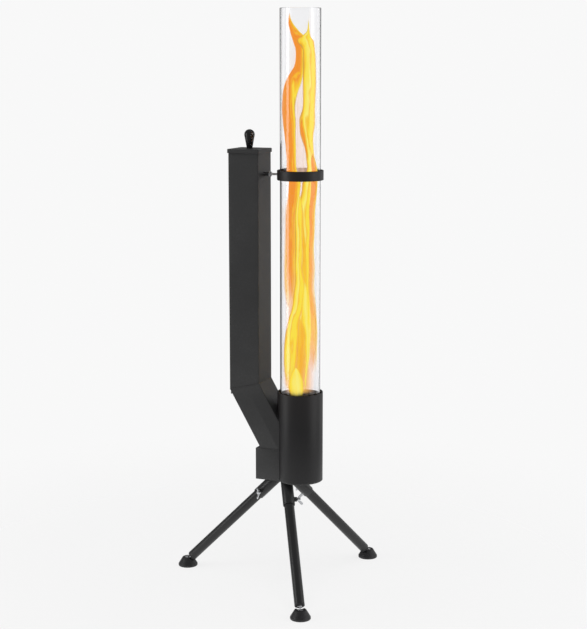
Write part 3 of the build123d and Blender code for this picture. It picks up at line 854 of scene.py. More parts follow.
def thread_tree():
    """A screw thread's ridge: a helix about Z with a sharp section."""
    thread = Tree(
        "thread", {"Radius": "Float", "Pitch": "Float", "Depth": "Float", "Run": "Float"}
    )
    turns = thread.maths("DIVIDE", thread.inputs["Run"], thread.inputs["Pitch"])
    root = thread.maths("SUBTRACT", thread.inputs["Radius"], thread.inputs["Depth"])
    helix = thread.node(
        "GeometryNodeCurveSpiral", {},
        {"Resolution": 20, "Rotations": turns, "Start Radius": root, "End Radius": root,
         "Height": thread.inputs["Run"]},
    )
    section = thread.node(
        "GeometryNodeCurvePrimitiveCircle", {}, {"Resolution": 4, "Radius": thread.inputs["Depth"]}
    )
    ridge = thread.node(
        "GeometryNodeCurveToMesh", {},
        {"Curve": helix, "Profile Curve": section, "Fill Caps": True},
    )
    thread.end(ridge)
    return thread


def pellet_tree():
    """Pellets lying at random on the piece's faces, Count of them a square metre."""
    heap = Tree("pellets", {"Count": "Float", "Radius": "Float", "Length": "Float", "Seed": "Int"})
    spots = heap.node(
        "GeometryNodeDistributePointsOnFaces", {},
        {"Mesh": heap.inputs["Geometry"], "Density": heap.inputs["Count"],
         "Seed": heap.inputs["Seed"]},
    )
    pellet = heap.node(
        "GeometryNodeMeshCylinder", {},
        {"Vertices": 8, "Radius": heap.inputs["Radius"], "Depth": heap.inputs["Length"]},
    )
    spin = heap.node(
        "FunctionNodeRandomValue", {"data_type": "FLOAT_VECTOR"},
        {"Min": (1.1, -0.4, 0.0), "Max": (2.0, 0.4, tau), "Seed": heap.inputs["Seed"]},
    )
    size = heap.node(
        "FunctionNodeRandomValue", {"data_type": "FLOAT"},
        {2: 0.7, 3: 1.15, "Seed": heap.inputs["Seed"]}, 1,
    )
    heap.end(heap.node(
        "GeometryNodeInstanceOnPoints", {},
        {"Points": spots, "Instance": pellet, "Rotation": spin, "Scale": size},
    ))
    return heap


# --- Chute and hopper geometry worked out from the frame ----------------------------------------
def chute_slant():
    """The chute's angle from upright, from its foot on the box and the hopper's outer corner."""
    foot_x = min(
        v.co.x for v in frame["nodes"]["feed_chute"].data.vertices if v.co.z < BOX_TOP + 0.1 * MM
    )
    return Vector((hopper_low.z - BOX_TOP, foot_x - hopper_low.x)).angle_signed(Vector((1, 0)))


SLANT = abs(chute_slant())
BEND_Z = hopper_low.z + HOPPER_HALF * tan(SLANT / 2)
chute_axis = placed((HOPPER_X, 0, BEND_Z), (sin(SLANT), 0, -cos(SLANT)), (0, 1, 0))


def mitre_height(point):
    return BEND_Z + point.x * tan(SLANT / 2)


def chute_start(point):
    return point.y * tan(SLANT / 2)


def chute_end(point):
    """Distance down the chute at which it meets the box's top or the round housing."""
    to_box = (BEND_Z - BOX_TOP + point.y * sin(SLANT)) / cos(SLANT)
    wall_x = TUBE.x - sqrt(SHELL_R**2 - point.x**2)
    to_shell = (wall_x - HOPPER_X - point.y * cos(SLANT)) / sin(SLANT)
    return min(to_box, to_shell)


def lifted(outline, height):
    """The outline's points at the heights that a function or a number gives."""
    return [Vector((p.x, p.y, height(p) if callable(height) else height)) for p in outline]


def sleeve(name, place, outer, inner, low, high):
    """A walled tube between two ends, each a height or a function of the outline's point."""
    mesh = stacked(
        name,
        [lifted(outer, low), lifted(outer, high), lifted(inner, high), lifted(inner, low)],
        closed=True,
    )
    mesh.transform(place)
    return new_object(name, mesh)


def box_mesh(low, high):
    """A box as a cutter."""
    rings = [
        [Vector((x, y, z)) for x, y in
         ((low[0], low[1]), (high[0], low[1]), (high[0], high[1]), (low[0], high[1]))]
        for z in (low[2], high[2])
    ]
    return stacked("box", rings)


class HeaterOperator(bpy.types.Operator):
    """Shared settings of the heater's operators."""

    bl_options = {"REGISTER", "UNDO"}


class HEATER_OT_finishes(HeaterOperator):
    """Make every finish that the pieces use"""

    bl_idname = "heater.finishes"
    bl_label = "Finishes"

    def execute(self, context):
        tints = context.scene.heater_colours
        peach, deep, gold, yellow, pale = (
            tuple(getattr(tints, "flame_" + name))
            for name in ("peach", "deep", "gold", "yellow", "pale")
        )
        brown = (0.62, 0.30, 0.03)
        finishes.update(
            powder_coat=powder_coat("powder_coat", tuple(tints.powder), 0.50, 0.9 * MM),
            tube_paint=powder_coat("tube_paint", tuple(tints.tube), 0.36, 0.6 * MM),
            heat_paint=heat_paint(tuple(tints.heat_paint)),
            zinc=zinc_plate(tuple(tints.zinc)),
            stainless=hot_steel(tuple(tints.steel)),
            glass=clear_glass(),
            knob=moulded("knob_plastic", tuple(tints.knob), 0.24, 0.5 * MM),
            foot=moulded("foot_plastic", tuple(tints.foot), 0.46, 0.7 * MM),
            fibre=woven_fibre(tuple(tints.fibre)),
            orange_fire=fire_finish(
                "orange_fire", {0.0: peach, 0.09: deep, 0.50: deep, 0.60: gold, 0.68: deep,
                                0.80: gold, 0.92: yellow, 0.98: brown},
                0.18, 0.98
            ),
            yellow_fire=fire_finish(
                "yellow_fire", {0.03: brown, 0.10: gold, 0.18: yellow, 0.40: pale, 0.52: gold,
                                0.60: yellow, 0.85: yellow, 0.93: gold, 1.0: peach},
                0.14, 0.98
            ),
            pale_fire=fire_finish(
                "pale_fire", {0.05: gold, 0.25: yellow, 0.5: pale, 0.9: yellow}, 0.35, 0.96
            ),
            gold_fire=fire_finish(
                "gold_fire", {0.0: deep, 0.4: gold, 0.6: gold, 1.0: deep}, 0.9, 0.9
            ),
            peach_fire=fire_finish("peach_fire", {0.1: peach, 0.6: gold, 0.9: peach}, 0.8, 0.75),
            veil_fire=fire_finish(
                "veil_fire",
                {0.2: (1.0, 0.74, 0.66), 0.5: (1.0, 0.62, 0.40), 0.8: (0.98, 0.76, 0.74)},
                0.6, 0.22
            ),
            ember=glowing_pellets(),
        )
        return {"FINISHED"}


class HEATER_OT_burner(HeaterOperator):
    """Build the base, the round housing, the fire pot and what they hold"""

    bl_idname = "heater.burner"
    bl_label = "Burner"

    def execute(self, context):
        sizes = context.scene.heater_shape
        inner_r = SHELL_R - SHELL_WALL
        wall = pipe_section(SHELL_R, inner_r, FLOOR_Z, RIM_Z, SMALL_EASE, sizes.rim_roll)
        shell = lathe("burner_shell", wall, burner_axis, sizes.turned_sides, True)
        opening = [
            v.co for v in frame["nodes"]["burner_housing"].data.vertices
            if v.co.x < TUBE.x - inner_r / 2 and FLOOR_Z + MM < v.co.z < RIM_Z - 3 * MM
        ]
        low = (TUBE.x - 1.2 * SHELL_R, min(p.y for p in opening), min(p.z for p in opening))
        high = (TUBE.x, max(p.y for p in opening), max(p.z for p in opening))
        cut(shell, [box_mesh(low, high)])
        smoothed(shell.data)
        finished(shell, "heat_paint", "body", "heat_paint", "burner_housing")

        for name, node, edge, finish in (
            ("base_sheet", "base_plate", sizes.edge, "powder_coat"),
            ("inlet_casing", "inlet_box", 2 * sizes.edge, "powder_coat"),
            ("seat_ring", "glass_seat", sizes.edge, "heat_paint"),
            ("ramp_sheet", "feed_ramp", sizes.edge, "stainless"),
        ):
            piece = fitted(name, node)
            eased(piece, edge)
            finished(piece, finish, "body", finish, node)
        for name, node in (("pot_sheet", "fire_pot"), ("grate_sheet", "fire_grate")):
            piece = fitted(name, node)
            smoothed(piece.data)
            finished(piece, "stainless", "body", "stainless", node)

        pack_low, pack_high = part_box("glass_gasket")
        flange_r = (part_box("fire_pot")[1].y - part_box("fire_pot")[0].y) / 2
        cord_r = (pack_high.z - pack_low.z) / 2
        inner_r, ease = flange_r + 0.3 * MM, cord_r * 0.9
        section = rounded(
            [(inner_r, pack_low.z, ease), (GLASS_R, pack_low.z, ease),
             (GLASS_R, pack_high.z, ease), (inner_r, pack_high.z, ease)], closed=True,
        )
        packing = lathe("packing_ring", section, burner_axis, sizes.turned_sides, True)
        finished(packing, "fibre", "body", "fibre", "glass_gasket")
        return {"FINISHED"}


class HEATER_OT_glass(HeaterOperator):
    """Build the long glass tube with fire-polished ends"""

    bl_idname = "heater.glass"
    bl_label = "Glass"

    def execute(self, context):
        sizes = context.scene.heater_shape
        inner_r = GLASS_R - sizes.glass_wall
        section = pipe_section(
            GLASS_R, inner_r, glass_low.z, glass_high.z, sizes.polish, sizes.polish
        )
        tube = lathe("glass_chimney", section, burner_axis, sizes.turned_sides, True, 60)
        finished(tube, "glass", "glass", "glass", "glass_tube")
        return {"FINISHED"}


class HEATER_OT_hopper(HeaterOperator):
    """Build the hopper, the slanted chute with its gate, and the gate's runners"""

    bl_idname = "heater.hopper"
    bl_label = "Hopper and chute"

    def execute(self, context):
        sizes = context.scene.heater_shape
        outer = square(HOPPER_HALF, sizes.corner)
        inner = square(HOPPER_HALF - SHEET, sizes.corner / 3)
        hopper = sleeve("hopper_column", hopper_axis, outer, inner, mitre_height, HOPPER_TOP)
        eased(hopper, sizes.edge)
        finished(hopper, "powder_coat", "body", "powder_coat", "hopper_tube")

        outer = square(HOPPER_HALF, sizes.corner, 24)
        inner = square(HOPPER_HALF - SHEET, sizes.corner / 3, 24)
        chute = sleeve("chute_duct", chute_axis, outer, inner, chute_start, chute_end)
        rail_low, rail_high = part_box("gate_rails")
        rail_mid = (rail_low.z + rail_high.z) / 2
        heights = [v.co.z for v in frame["nodes"]["gate_rails"].data.vertices]
        slot_low = max(z for z in heights if z < rail_mid)
        slot_high = min(z for z in heights if z > rail_mid)
        slot_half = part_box("gate_plate")[1].y + GATE_SIDE_GAP
        wall_x = hopper_low.x + (hopper_low.z - rail_mid) * tan(SLANT)
        cut(chute, [box_mesh((wall_x - 3 * SHEET, -slot_half, slot_low),
                             (wall_x + 3 * SHEET, slot_half, slot_high))])
        eased(chute, sizes.edge / 2)
        finished(chute, "powder_coat", "body", "powder_coat", "feed_chute")

        gate = fitted("gate_blade", "gate_plate")
        eased(gate, sizes.edge)
        finished(gate, "powder_coat", "gate", "powder_coat", "gate_plate")
        rails = fitted("gate_runners", "gate_rails")
        eased(rails, sizes.edge)
        finished(rails, "stainless", "body", "stainless", "gate_rails")
        return {"FINISHED"}


class HEATER_OT_lid(HeaterOperator):
    """Build the folded lid, its knob and its screw"""

    bl_idname = "heater.lid"
    bl_label = "Lid"

    def execute(self, context):
        sizes = context.scene.heater_shape
        low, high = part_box("hopper_lid")
        half, sheet = (high.y - low.y) / 2, high.z - HOPPER_TOP
        fold = sheet * 0.9
        rings = [lifted(square(half - sheet - fold / 2, fold / 2), high.z - sheet)]
        rings += [
            lifted(square(half - sheet, fold / 2), z) for z in (high.z - sheet - fold / 2, low.z)
        ]
        rings.append(lifted(square(half, fold), low.z))
        for step in range(6):
            turn = pi / 2 * step / 5
            rings.append(lifted(
                square(half - fold * (1 - cos(turn)), fold), high.z - fold * (1 - sin(turn))
            ))
        cap = new_object("lid_pressing", stacked("lid_pressing", rings))
        cap.data.transform(hopper_axis)
        eased(cap, sizes.edge / 2)
        finished(cap, "powder_coat", "lid", "powder_coat", "hopper_lid")

        low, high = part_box("lid_knob")
        ball_r = (high.y - low.y) / 2
        ball_z = high.z - ball_r
        outline = [Vector((0, low.z)), Vector((sizes.knob_neck, low.z)),
                   Vector((sizes.knob_neck + 0.2 * MM, low.z + 0.5 * MM))]
        for step in range(25):
            turn = -KNOB_TAPER + (pi / 2 + KNOB_TAPER) * step / 24
            outline.append(Vector((ball_r * cos(turn), ball_z + ball_r * sin(turn))))
        knob = lathe("knob", outline, hopper_axis, 96)
        finished(knob, "knob", "lid", "knob_plastic", "lid_knob")
        screw = fitted("lid_bolt", "lid_screw")
        smoothed(screw.data)
        finished(screw, "zinc", "lid", "zinc", "lid_screw")
        return {"FINISHED"}


class HEATER_OT_ring(HeaterOperator):
    """Build the ring round the glass and the threaded rod that holds it"""

    bl_idname = "heater.ring"
    bl_label = "Ring and rod"

    def execute(self, context):
        sizes = context.scene.heater_shape
        inner_r = SHELL_R - SHELL_WALL
        roll = sizes.rim_roll
        band = pipe_section(SHELL_R, inner_r, ring_low.z, ring_high.z, roll, roll)
        ring = lathe("ring_band", band, burner_axis, sizes.turned_sides, True)
        finished(ring, "heat_paint", "body", "heat_paint", "clamp_ring")
        for name, node, finish in (
            ("ring_cushions", "ring_pads", "fibre"), ("rim_springs", "rim_clips", "stainless"),
        ):
            piece = fitted(name, node)
            eased(piece, sizes.edge)
            finished(piece, finish, "body", finish, node)

        def along(node):
            """Start, length and radius of a piece on the rod's axis."""
            low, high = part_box(node)
            place = placed((low.x, 0, (low.z + high.z) / 2), (1, 0, 0), (0, 1, 0))
            return place, high.x - low.x, (high.y - low.y) / 2

        place, run, radius = along("ring_standoff")
        bore = THREAD_R + THREAD_CLEAR
        section = rounded(
            [(bore, 0, FINE_EASE), (radius, 0, FINE_EASE), (radius, run, 0.7 * MM),
             (bore, run, FINE_EASE)], closed=True,
        )
        standoff = lathe("rod_standoff", section, place, 48, True)
        finished(standoff, "powder_coat", "body", "powder_coat", "ring_standoff")

        place, run, radius = along("ring_washer")
        section = rounded(
            [(bore, 0, SMALL_EASE), (radius, 0, 0.4 * MM), (radius, run, 0.4 * MM),
             (bore, run, SMALL_EASE)], closed=True,
        )
        washer = lathe("rod_washer", section, place, 64, True)
        finished(washer, "zinc", "body", "zinc", "ring_washer")

        place, run, radius = along("ring_nut")
        flats = min(high - low for low, high in zip(*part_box("ring_nut")) if high - low > run * 1.2)
        nut = new_object("rod_nut", hex_nut("rod_nut", place, flats, run, bore))
        finished(nut, "zinc", "body", "zinc", "ring_nut")

        place, run, radius = along("ring_rod")
        rod = new_object("threaded_rod", threaded("threaded_rod", radius, run, sizes, place))
        finished(rod, "zinc", "body", "zinc", "ring_rod")
        return {"FINISHED"}


def threaded(name, radius, run, sizes, place, start=0.0):
    """A threaded length of rod: its core and the ridge that winds round it."""
    root = radius - sizes.thread_depth
    core = turned(
        name, rounded([(0, 0, 0), (root, 0, SMALL_EASE), (root, run, SMALL_EASE), (0, run, 0)]),
        Matrix.Identity(4), 32,
    )
    ridge = new_object("ridge", bpy.data.meshes.new("ridge"))
    mesh = trees["thread"].grow(
        ridge, "zinc", Radius=radius, Pitch=sizes.pitch, Depth=sizes.thread_depth,
        Run=run - sizes.pitch,
    )
    mesh.transform(Matrix.Translation((0, 0, sizes.pitch / 2)))
    smoothed(mesh, 50)
    bpy.data.objects.remove(ridge)
    made = joined(name, [core, mesh])
    made.transform(place @ Matrix.Translation((0, 0, start)))
    return made


# --- Legs ---------------------------------------------------------------------------------------
BALL_GAP = 0.08 * MM
CONE_R = 2.9 * MM  # the foot's opening at the ball's middle
CONE_RATE = 0.55  # and how it widens along the leg
WING_CIRCLES = (
    (3.0 * MM, 3.5 * MM, 3.0 * MM),  # out along the bolt, sideways, radius
    (11.0 * MM, 11.5 * MM, 3.5 * MM),
)
WING_SIDES = 28


def bolt_frame(name):
    """Frame of a wing bolt: its axis outwards, X level and Y upright."""
    joint = joints["wing_turn_" + name]
    return placed(joint["pos_m"], joint["axis"], Z_AXIS.cross(Vector(joint["axis"])))


def socket_top(name):
    """Height in the leg's frame at which the socket meets the plate or the next socket."""
    place = legs[name]
    run = place.to_3x3() @ Z_AXIS
    outwards = Vector((place.translation.x - TRIPOD_X, place.translation.y, 0)).normalized()
    centre = Vector((TRIPOD_X, 0, 0))
    sides = []
    for turn in (-pi / 3, pi / 3):
        edge = outwards.copy()
        edge.rotate(Matrix.Rotation(turn, 3, "Z"))
        sides.append(edge.cross(Z_AXIS))

    def height(point):
        start = place @ Vector((point.x, point.y, 0))
        hits = [(BASE_Z - start.z) / run.z]
        for normal in sides:
            hit = -normal.dot(start - centre) / normal.dot(run)
            if 0 < hit < hits[0]:
                hits.append(hit)
        return min(hits)

    return height


def wing(place, start, sizes, flip):
    """One wing of a bolt: the hull of a small and a large circle, with rounded edges."""
    shape = bmesh.new()
    crown = 0.55 * MM
    for side, inset in ((-1, crown), (-0.55, 0), (0.55, 0), (1, crown)):
        for out, sideways, radius in WING_CIRCLES:
            for i in range(WING_SIDES):
                turn = tau * i / WING_SIDES
                shape.verts.new((
                    side * sizes.wing_t / 2,
                    flip * (sideways + (radius - inset) * cos(turn)),
                    start + out + (radius - inset) * sin(turn),
                ))
    hull = bmesh.ops.convex_hull(shape, input=shape.verts)
    bmesh.ops.delete(shape, geom=hull["geom_interior"], context="VERTS")
    bmesh.ops.dissolve_limit(shape, angle_limit=radians(1), verts=shape.verts, edges=shape.edges)
    mesh = bpy.data.meshes.new("wing")
    cleaned(shape, mesh)
    mesh.transform(place)
    smoothed(mesh, 40)
    return mesh


class HEATER_OT_legs(HeaterOperator):
    """Build the three legs with their sockets, bosses, wing bolts and plugs"""

    bl_idname = "heater.legs"
    bl_label = "Legs"

    def execute(self, context):
        sizes = context.scene.heater_shape
        bosses = []
        for name, place in legs.items():
            low, high = span("leg_tube_" + name, place)
            radius = high.x
            inner = radius - sizes.leg_wall
            section = rounded(
                [(inner, low.z, SMALL_EASE), (radius, low.z, sizes.edge),
                 (radius, high.z, sizes.edge), (inner, high.z, SMALL_EASE)], closed=True,
            )
            tube = lathe("leg_pipe_" + name, section, place, LEG_SIDES, True)
            finished(tube, "tube_paint", "leg_" + name, "powder_coat", "leg_tube_" + name)

            plug_low, plug_high = span("leg_plug_" + name, place)
            bore = THREAD_R + THREAD_FIT
            stem = inner - THREAD_FIT
            section = rounded(
                [(bore, plug_low.z, SMALL_EASE), (radius, plug_low.z, 1.2 * MM),
                 (radius, low.z, FINE_EASE), (stem, low.z, 0), (stem, plug_high.z, 0.8 * MM),
                 (bore, plug_high.z, 0)], closed=True,
            )
            plug = lathe("leg_cap_" + name, section, place, LEG_SIDES, True)
            finished(plug, "foot", "leg_" + name, "foot_plastic", "leg_plug_" + name)

            ball_low, stud_high = span("foot_stud_" + name, place)
            ball_r = -ball_low.z
            nut_low, nut_high = span("foot_nut_" + name, place)
            shank = nut_low.z - MM  # the thread starts just below the nut
            neck_z = sqrt(ball_r**2 - sizes.stud_neck**2)
            outline = bowl(ball_r, acos(-neck_z / ball_r), 20)
            root = THREAD_R - sizes.thread_depth
            outline += [Vector((sizes.stud_neck, shank)), Vector((root, shank)),
                        Vector((root, stud_high.z)), Vector((0, stud_high.z))]
            core = turned("stud", outline, place, 40)
            helix = threaded("stud_thread", THREAD_R, stud_high.z - shank, sizes, place, shank)
            stud = new_object("ball_stud_" + name, joined("ball_stud", [core, helix]))
            finished(stud, "zinc", "leg_" + name, "zinc", "foot_stud_" + name)
            nut_place = place @ Matrix.Translation((0, 0, nut_low.z))
            flats, thick = 2 * min(nut_high.x, nut_high.y), nut_high.z - nut_low.z
            nut = new_object(
                "stud_nut_" + name,
                hex_nut("stud_nut", nut_place, flats, thick, THREAD_R + THREAD_CLEAR),
            )
            finished(nut, "zinc", "leg_" + name, "zinc", "foot_nut_" + name)

            socket_low, socket_high = span("leg_socket_" + name, place)
            socket_r = (socket_high.x - socket_low.x) / 2
            outer = [p.xy for p in circle(socket_r, 0, SOCKET_SIDES)]
            inner_ring = [p.xy for p in circle(radius + SOCKET_CLEAR, 0, SOCKET_SIDES)]
            socket = sleeve(
                "socket_" + name, place, outer, inner_ring, socket_low.z, socket_top(name)
            )
            eased(socket, sizes.edge)
            finished(socket, "tube_paint", "body", "powder_coat", "leg_socket_" + name)

            bolt = bolt_frame(name)
            boss_r = 2 * THREAD_R
            boss_top = socket_r + sizes.boss_height
            ring = [p.xy for p in circle(boss_r, 0, HUB_SIDES)]
            bore_ring = [p.xy for p in circle(THREAD_R, 0, HUB_SIDES)]
            boss = sleeve(
                "boss", bolt, ring, bore_ring,
                lambda p: sqrt(socket_r**2 - p.y**2) - SEAM_STEP, boss_top,
            )
            bosses.append(boss)

            hub = boss_top + sizes.wing_gap
            tip_z = span("wing_bolt_" + name, bolt)[0].z
            body = rounded(
                [(0, hub - 0.5 * MM, 0), (sizes.hub_r - MM, hub - 0.5 * MM, FINE_EASE),
                 (sizes.hub_r, hub + 0.6 * MM, 0.4 * MM),
                 (sizes.hub_r, hub + sizes.hub_length, 1.6 * MM), (0, hub + sizes.hub_length, 0)]
            )
            parts = [turned("hub", body, bolt, HUB_SIDES)]
            parts += [wing(bolt, hub, sizes, flip) for flip in (-1, 1)]
            parts.append(
                threaded("shank", THREAD_R - THREAD_FIT, hub - tip_z, sizes, bolt, tip_z)
            )
            bolt_piece = new_object("wing_screw_" + name, joined("wing_screw", parts))
            finished(bolt_piece, "zinc", "wing_" + name, "zinc", "wing_bolt_" + name)
        every_boss = new_object(
            "bosses", joined("bosses", [boss.data.copy() for boss in bosses])
        )
        for boss in bosses:
            bpy.data.objects.remove(boss)
        eased(every_boss, sizes.edge)
        finished(every_boss, "tube_paint", "body", "powder_coat", "socket_bosses")
        return {"FINISHED"}


class HEATER_OT_feet(HeaterOperator):
    """Build the swivel feet and the washers that hold their balls"""

    bl_idname = "heater.feet"
    bl_label = "Feet"

    def execute(self, context):
        sizes = context.scene.heater_shape
        for name, place in legs.items():
            ball = place.translation
            upright = Matrix.Translation((ball.x, ball.y, 0))
            corner = span("foot_pad_" + name, upright)[1]
            pad_r, top = corner.y, corner.z
            clip_low, clip_high = span("foot_clip_" + name, upright)
            recess = clip_low.z
            step_r = sizes.clip_r + CLIP_CLEAR
            outline = rounded([
                (0, MM, 0), (pad_r * 0.72, MM, 0.5 * MM), (pad_r * 0.74, 0, 0.4 * MM),
                (pad_r, 0, 1.5 * MM), (pad_r, 5 * MM, 2.5 * MM), (14 * MM, top, 3 * MM),
                (step_r, top, SMALL_EASE), (step_r, recess, FINE_EASE), (0, recess, 0),
            ])
            cup_r = -span("foot_stud_" + name, place)[0].z + BALL_GAP
            a, b, c = 1 + CONE_RATE**2, 2 * CONE_R * CONE_RATE, CONE_R**2 - cup_r**2
            mouth = (-b + sqrt(b * b - 4 * a * c)) / (2 * a)
            hollow = bowl(cup_r, acos(-mouth / cup_r), 24)
            reach = 40 * MM  # well past the top of the foot
            hollow += [Vector((CONE_R + CONE_RATE * reach, reach)), Vector((0, reach))]
            pad = lathe("foot_" + name, outline, upright, FOOT_SIDES)
            cut(pad, [turned("hollow", hollow, place, 64)])
            eased(pad, 0.35 * MM, 40)
            finished(pad, "foot", "foot_" + name, "foot_plastic", "foot_pad_" + name)

            disc = rounded([
                (0, recess, 0), (sizes.clip_r, recess, FINE_EASE),
                (sizes.clip_r, clip_high.z, 0.5 * MM), (0, clip_high.z, 0),
            ])
            clip = lathe("ball_washer_" + name, disc, upright, LEG_SIDES)
            cut(clip, [turned("hollow", hollow, place, 64)])
            eased(clip, FINE_EASE, 40)
            finished(clip, "zinc", "foot_" + name, "zinc", "foot_clip_" + name)
        return {"FINISHED"}


class HEATER_OT_welds(HeaterOperator):
    """Lay the weld beads along the seams of the sheet work and round the sockets"""

    bl_idname = "heater.welds"
    bl_label = "Welds"

    def execute(self, context):
        sizes = context.scene.heater_shape
        corner = square(HOPPER_HALF, sizes.corner, 24)
        mitre = [hopper_axis @ p for p in lifted(corner, mitre_height)]
        foot = [chute_axis @ p for p in lifted(corner, chute_end)]
        seams = {"mitre_weld": [mitre], "seam_welds": [foot]}
        for name, place in legs.items():
            low, high = span("leg_socket_" + name, place)
            socket_r = (high.x - low.x) / 2
            ring = [p.xy for p in circle(socket_r, 0, SOCKET_SIDES)]
            seams["seam_welds"].append([place @ p for p in lifted(ring, socket_top(name))])
            boss = [p.xy for p in circle(2 * THREAD_R, 0, BOSS_SEAM_SIDES)]
            seams["seam_welds"].append([
                bolt_frame(name) @ p
                for p in lifted(boss, lambda p: sqrt(socket_r**2 - p.y**2) + SEAM_STEP)
            ])
        low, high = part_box("ring_standoff")
        face = placed((low.x, 0, (low.z + high.z) / 2), (1, 0, 0), (0, 1, 0))
        ring = circle((high.y - low.y) / 2, 0, BOSS_SEAM_SIDES)
        seams["seam_welds"].append([face @ p for p in ring])
        widths = {"mitre_weld": sizes.weld_width * 0.5, "seam_welds": sizes.weld_width}
        for name, loops in seams.items():
            shape = bmesh.new()
            for loop in loops:
                points = [shape.verts.new(p) for p in loop]
                for first, second in zip(points, points[1:] + points[:1]):
                    shape.edges.new((first, second))
            mesh = bpy.data.meshes.new(name)
            shape.to_mesh(mesh)
            shape.free()
            weld = new_object(name, mesh)
            trees["bead"].grow(
                weld, "powder_coat", Width=widths[name], Step=sizes.weld_step * widths[name]
                / sizes.weld_width,
            )
            smoothed(weld.data, 80)
            finished(weld, "powder_coat", "body", "powder_coat")
        return {"FINISHED"}


# --- Fire ---------------------------------------------------------------------------------------
BROADSIDE = radians(22)  # the flame is drawn broadside to this azimuth

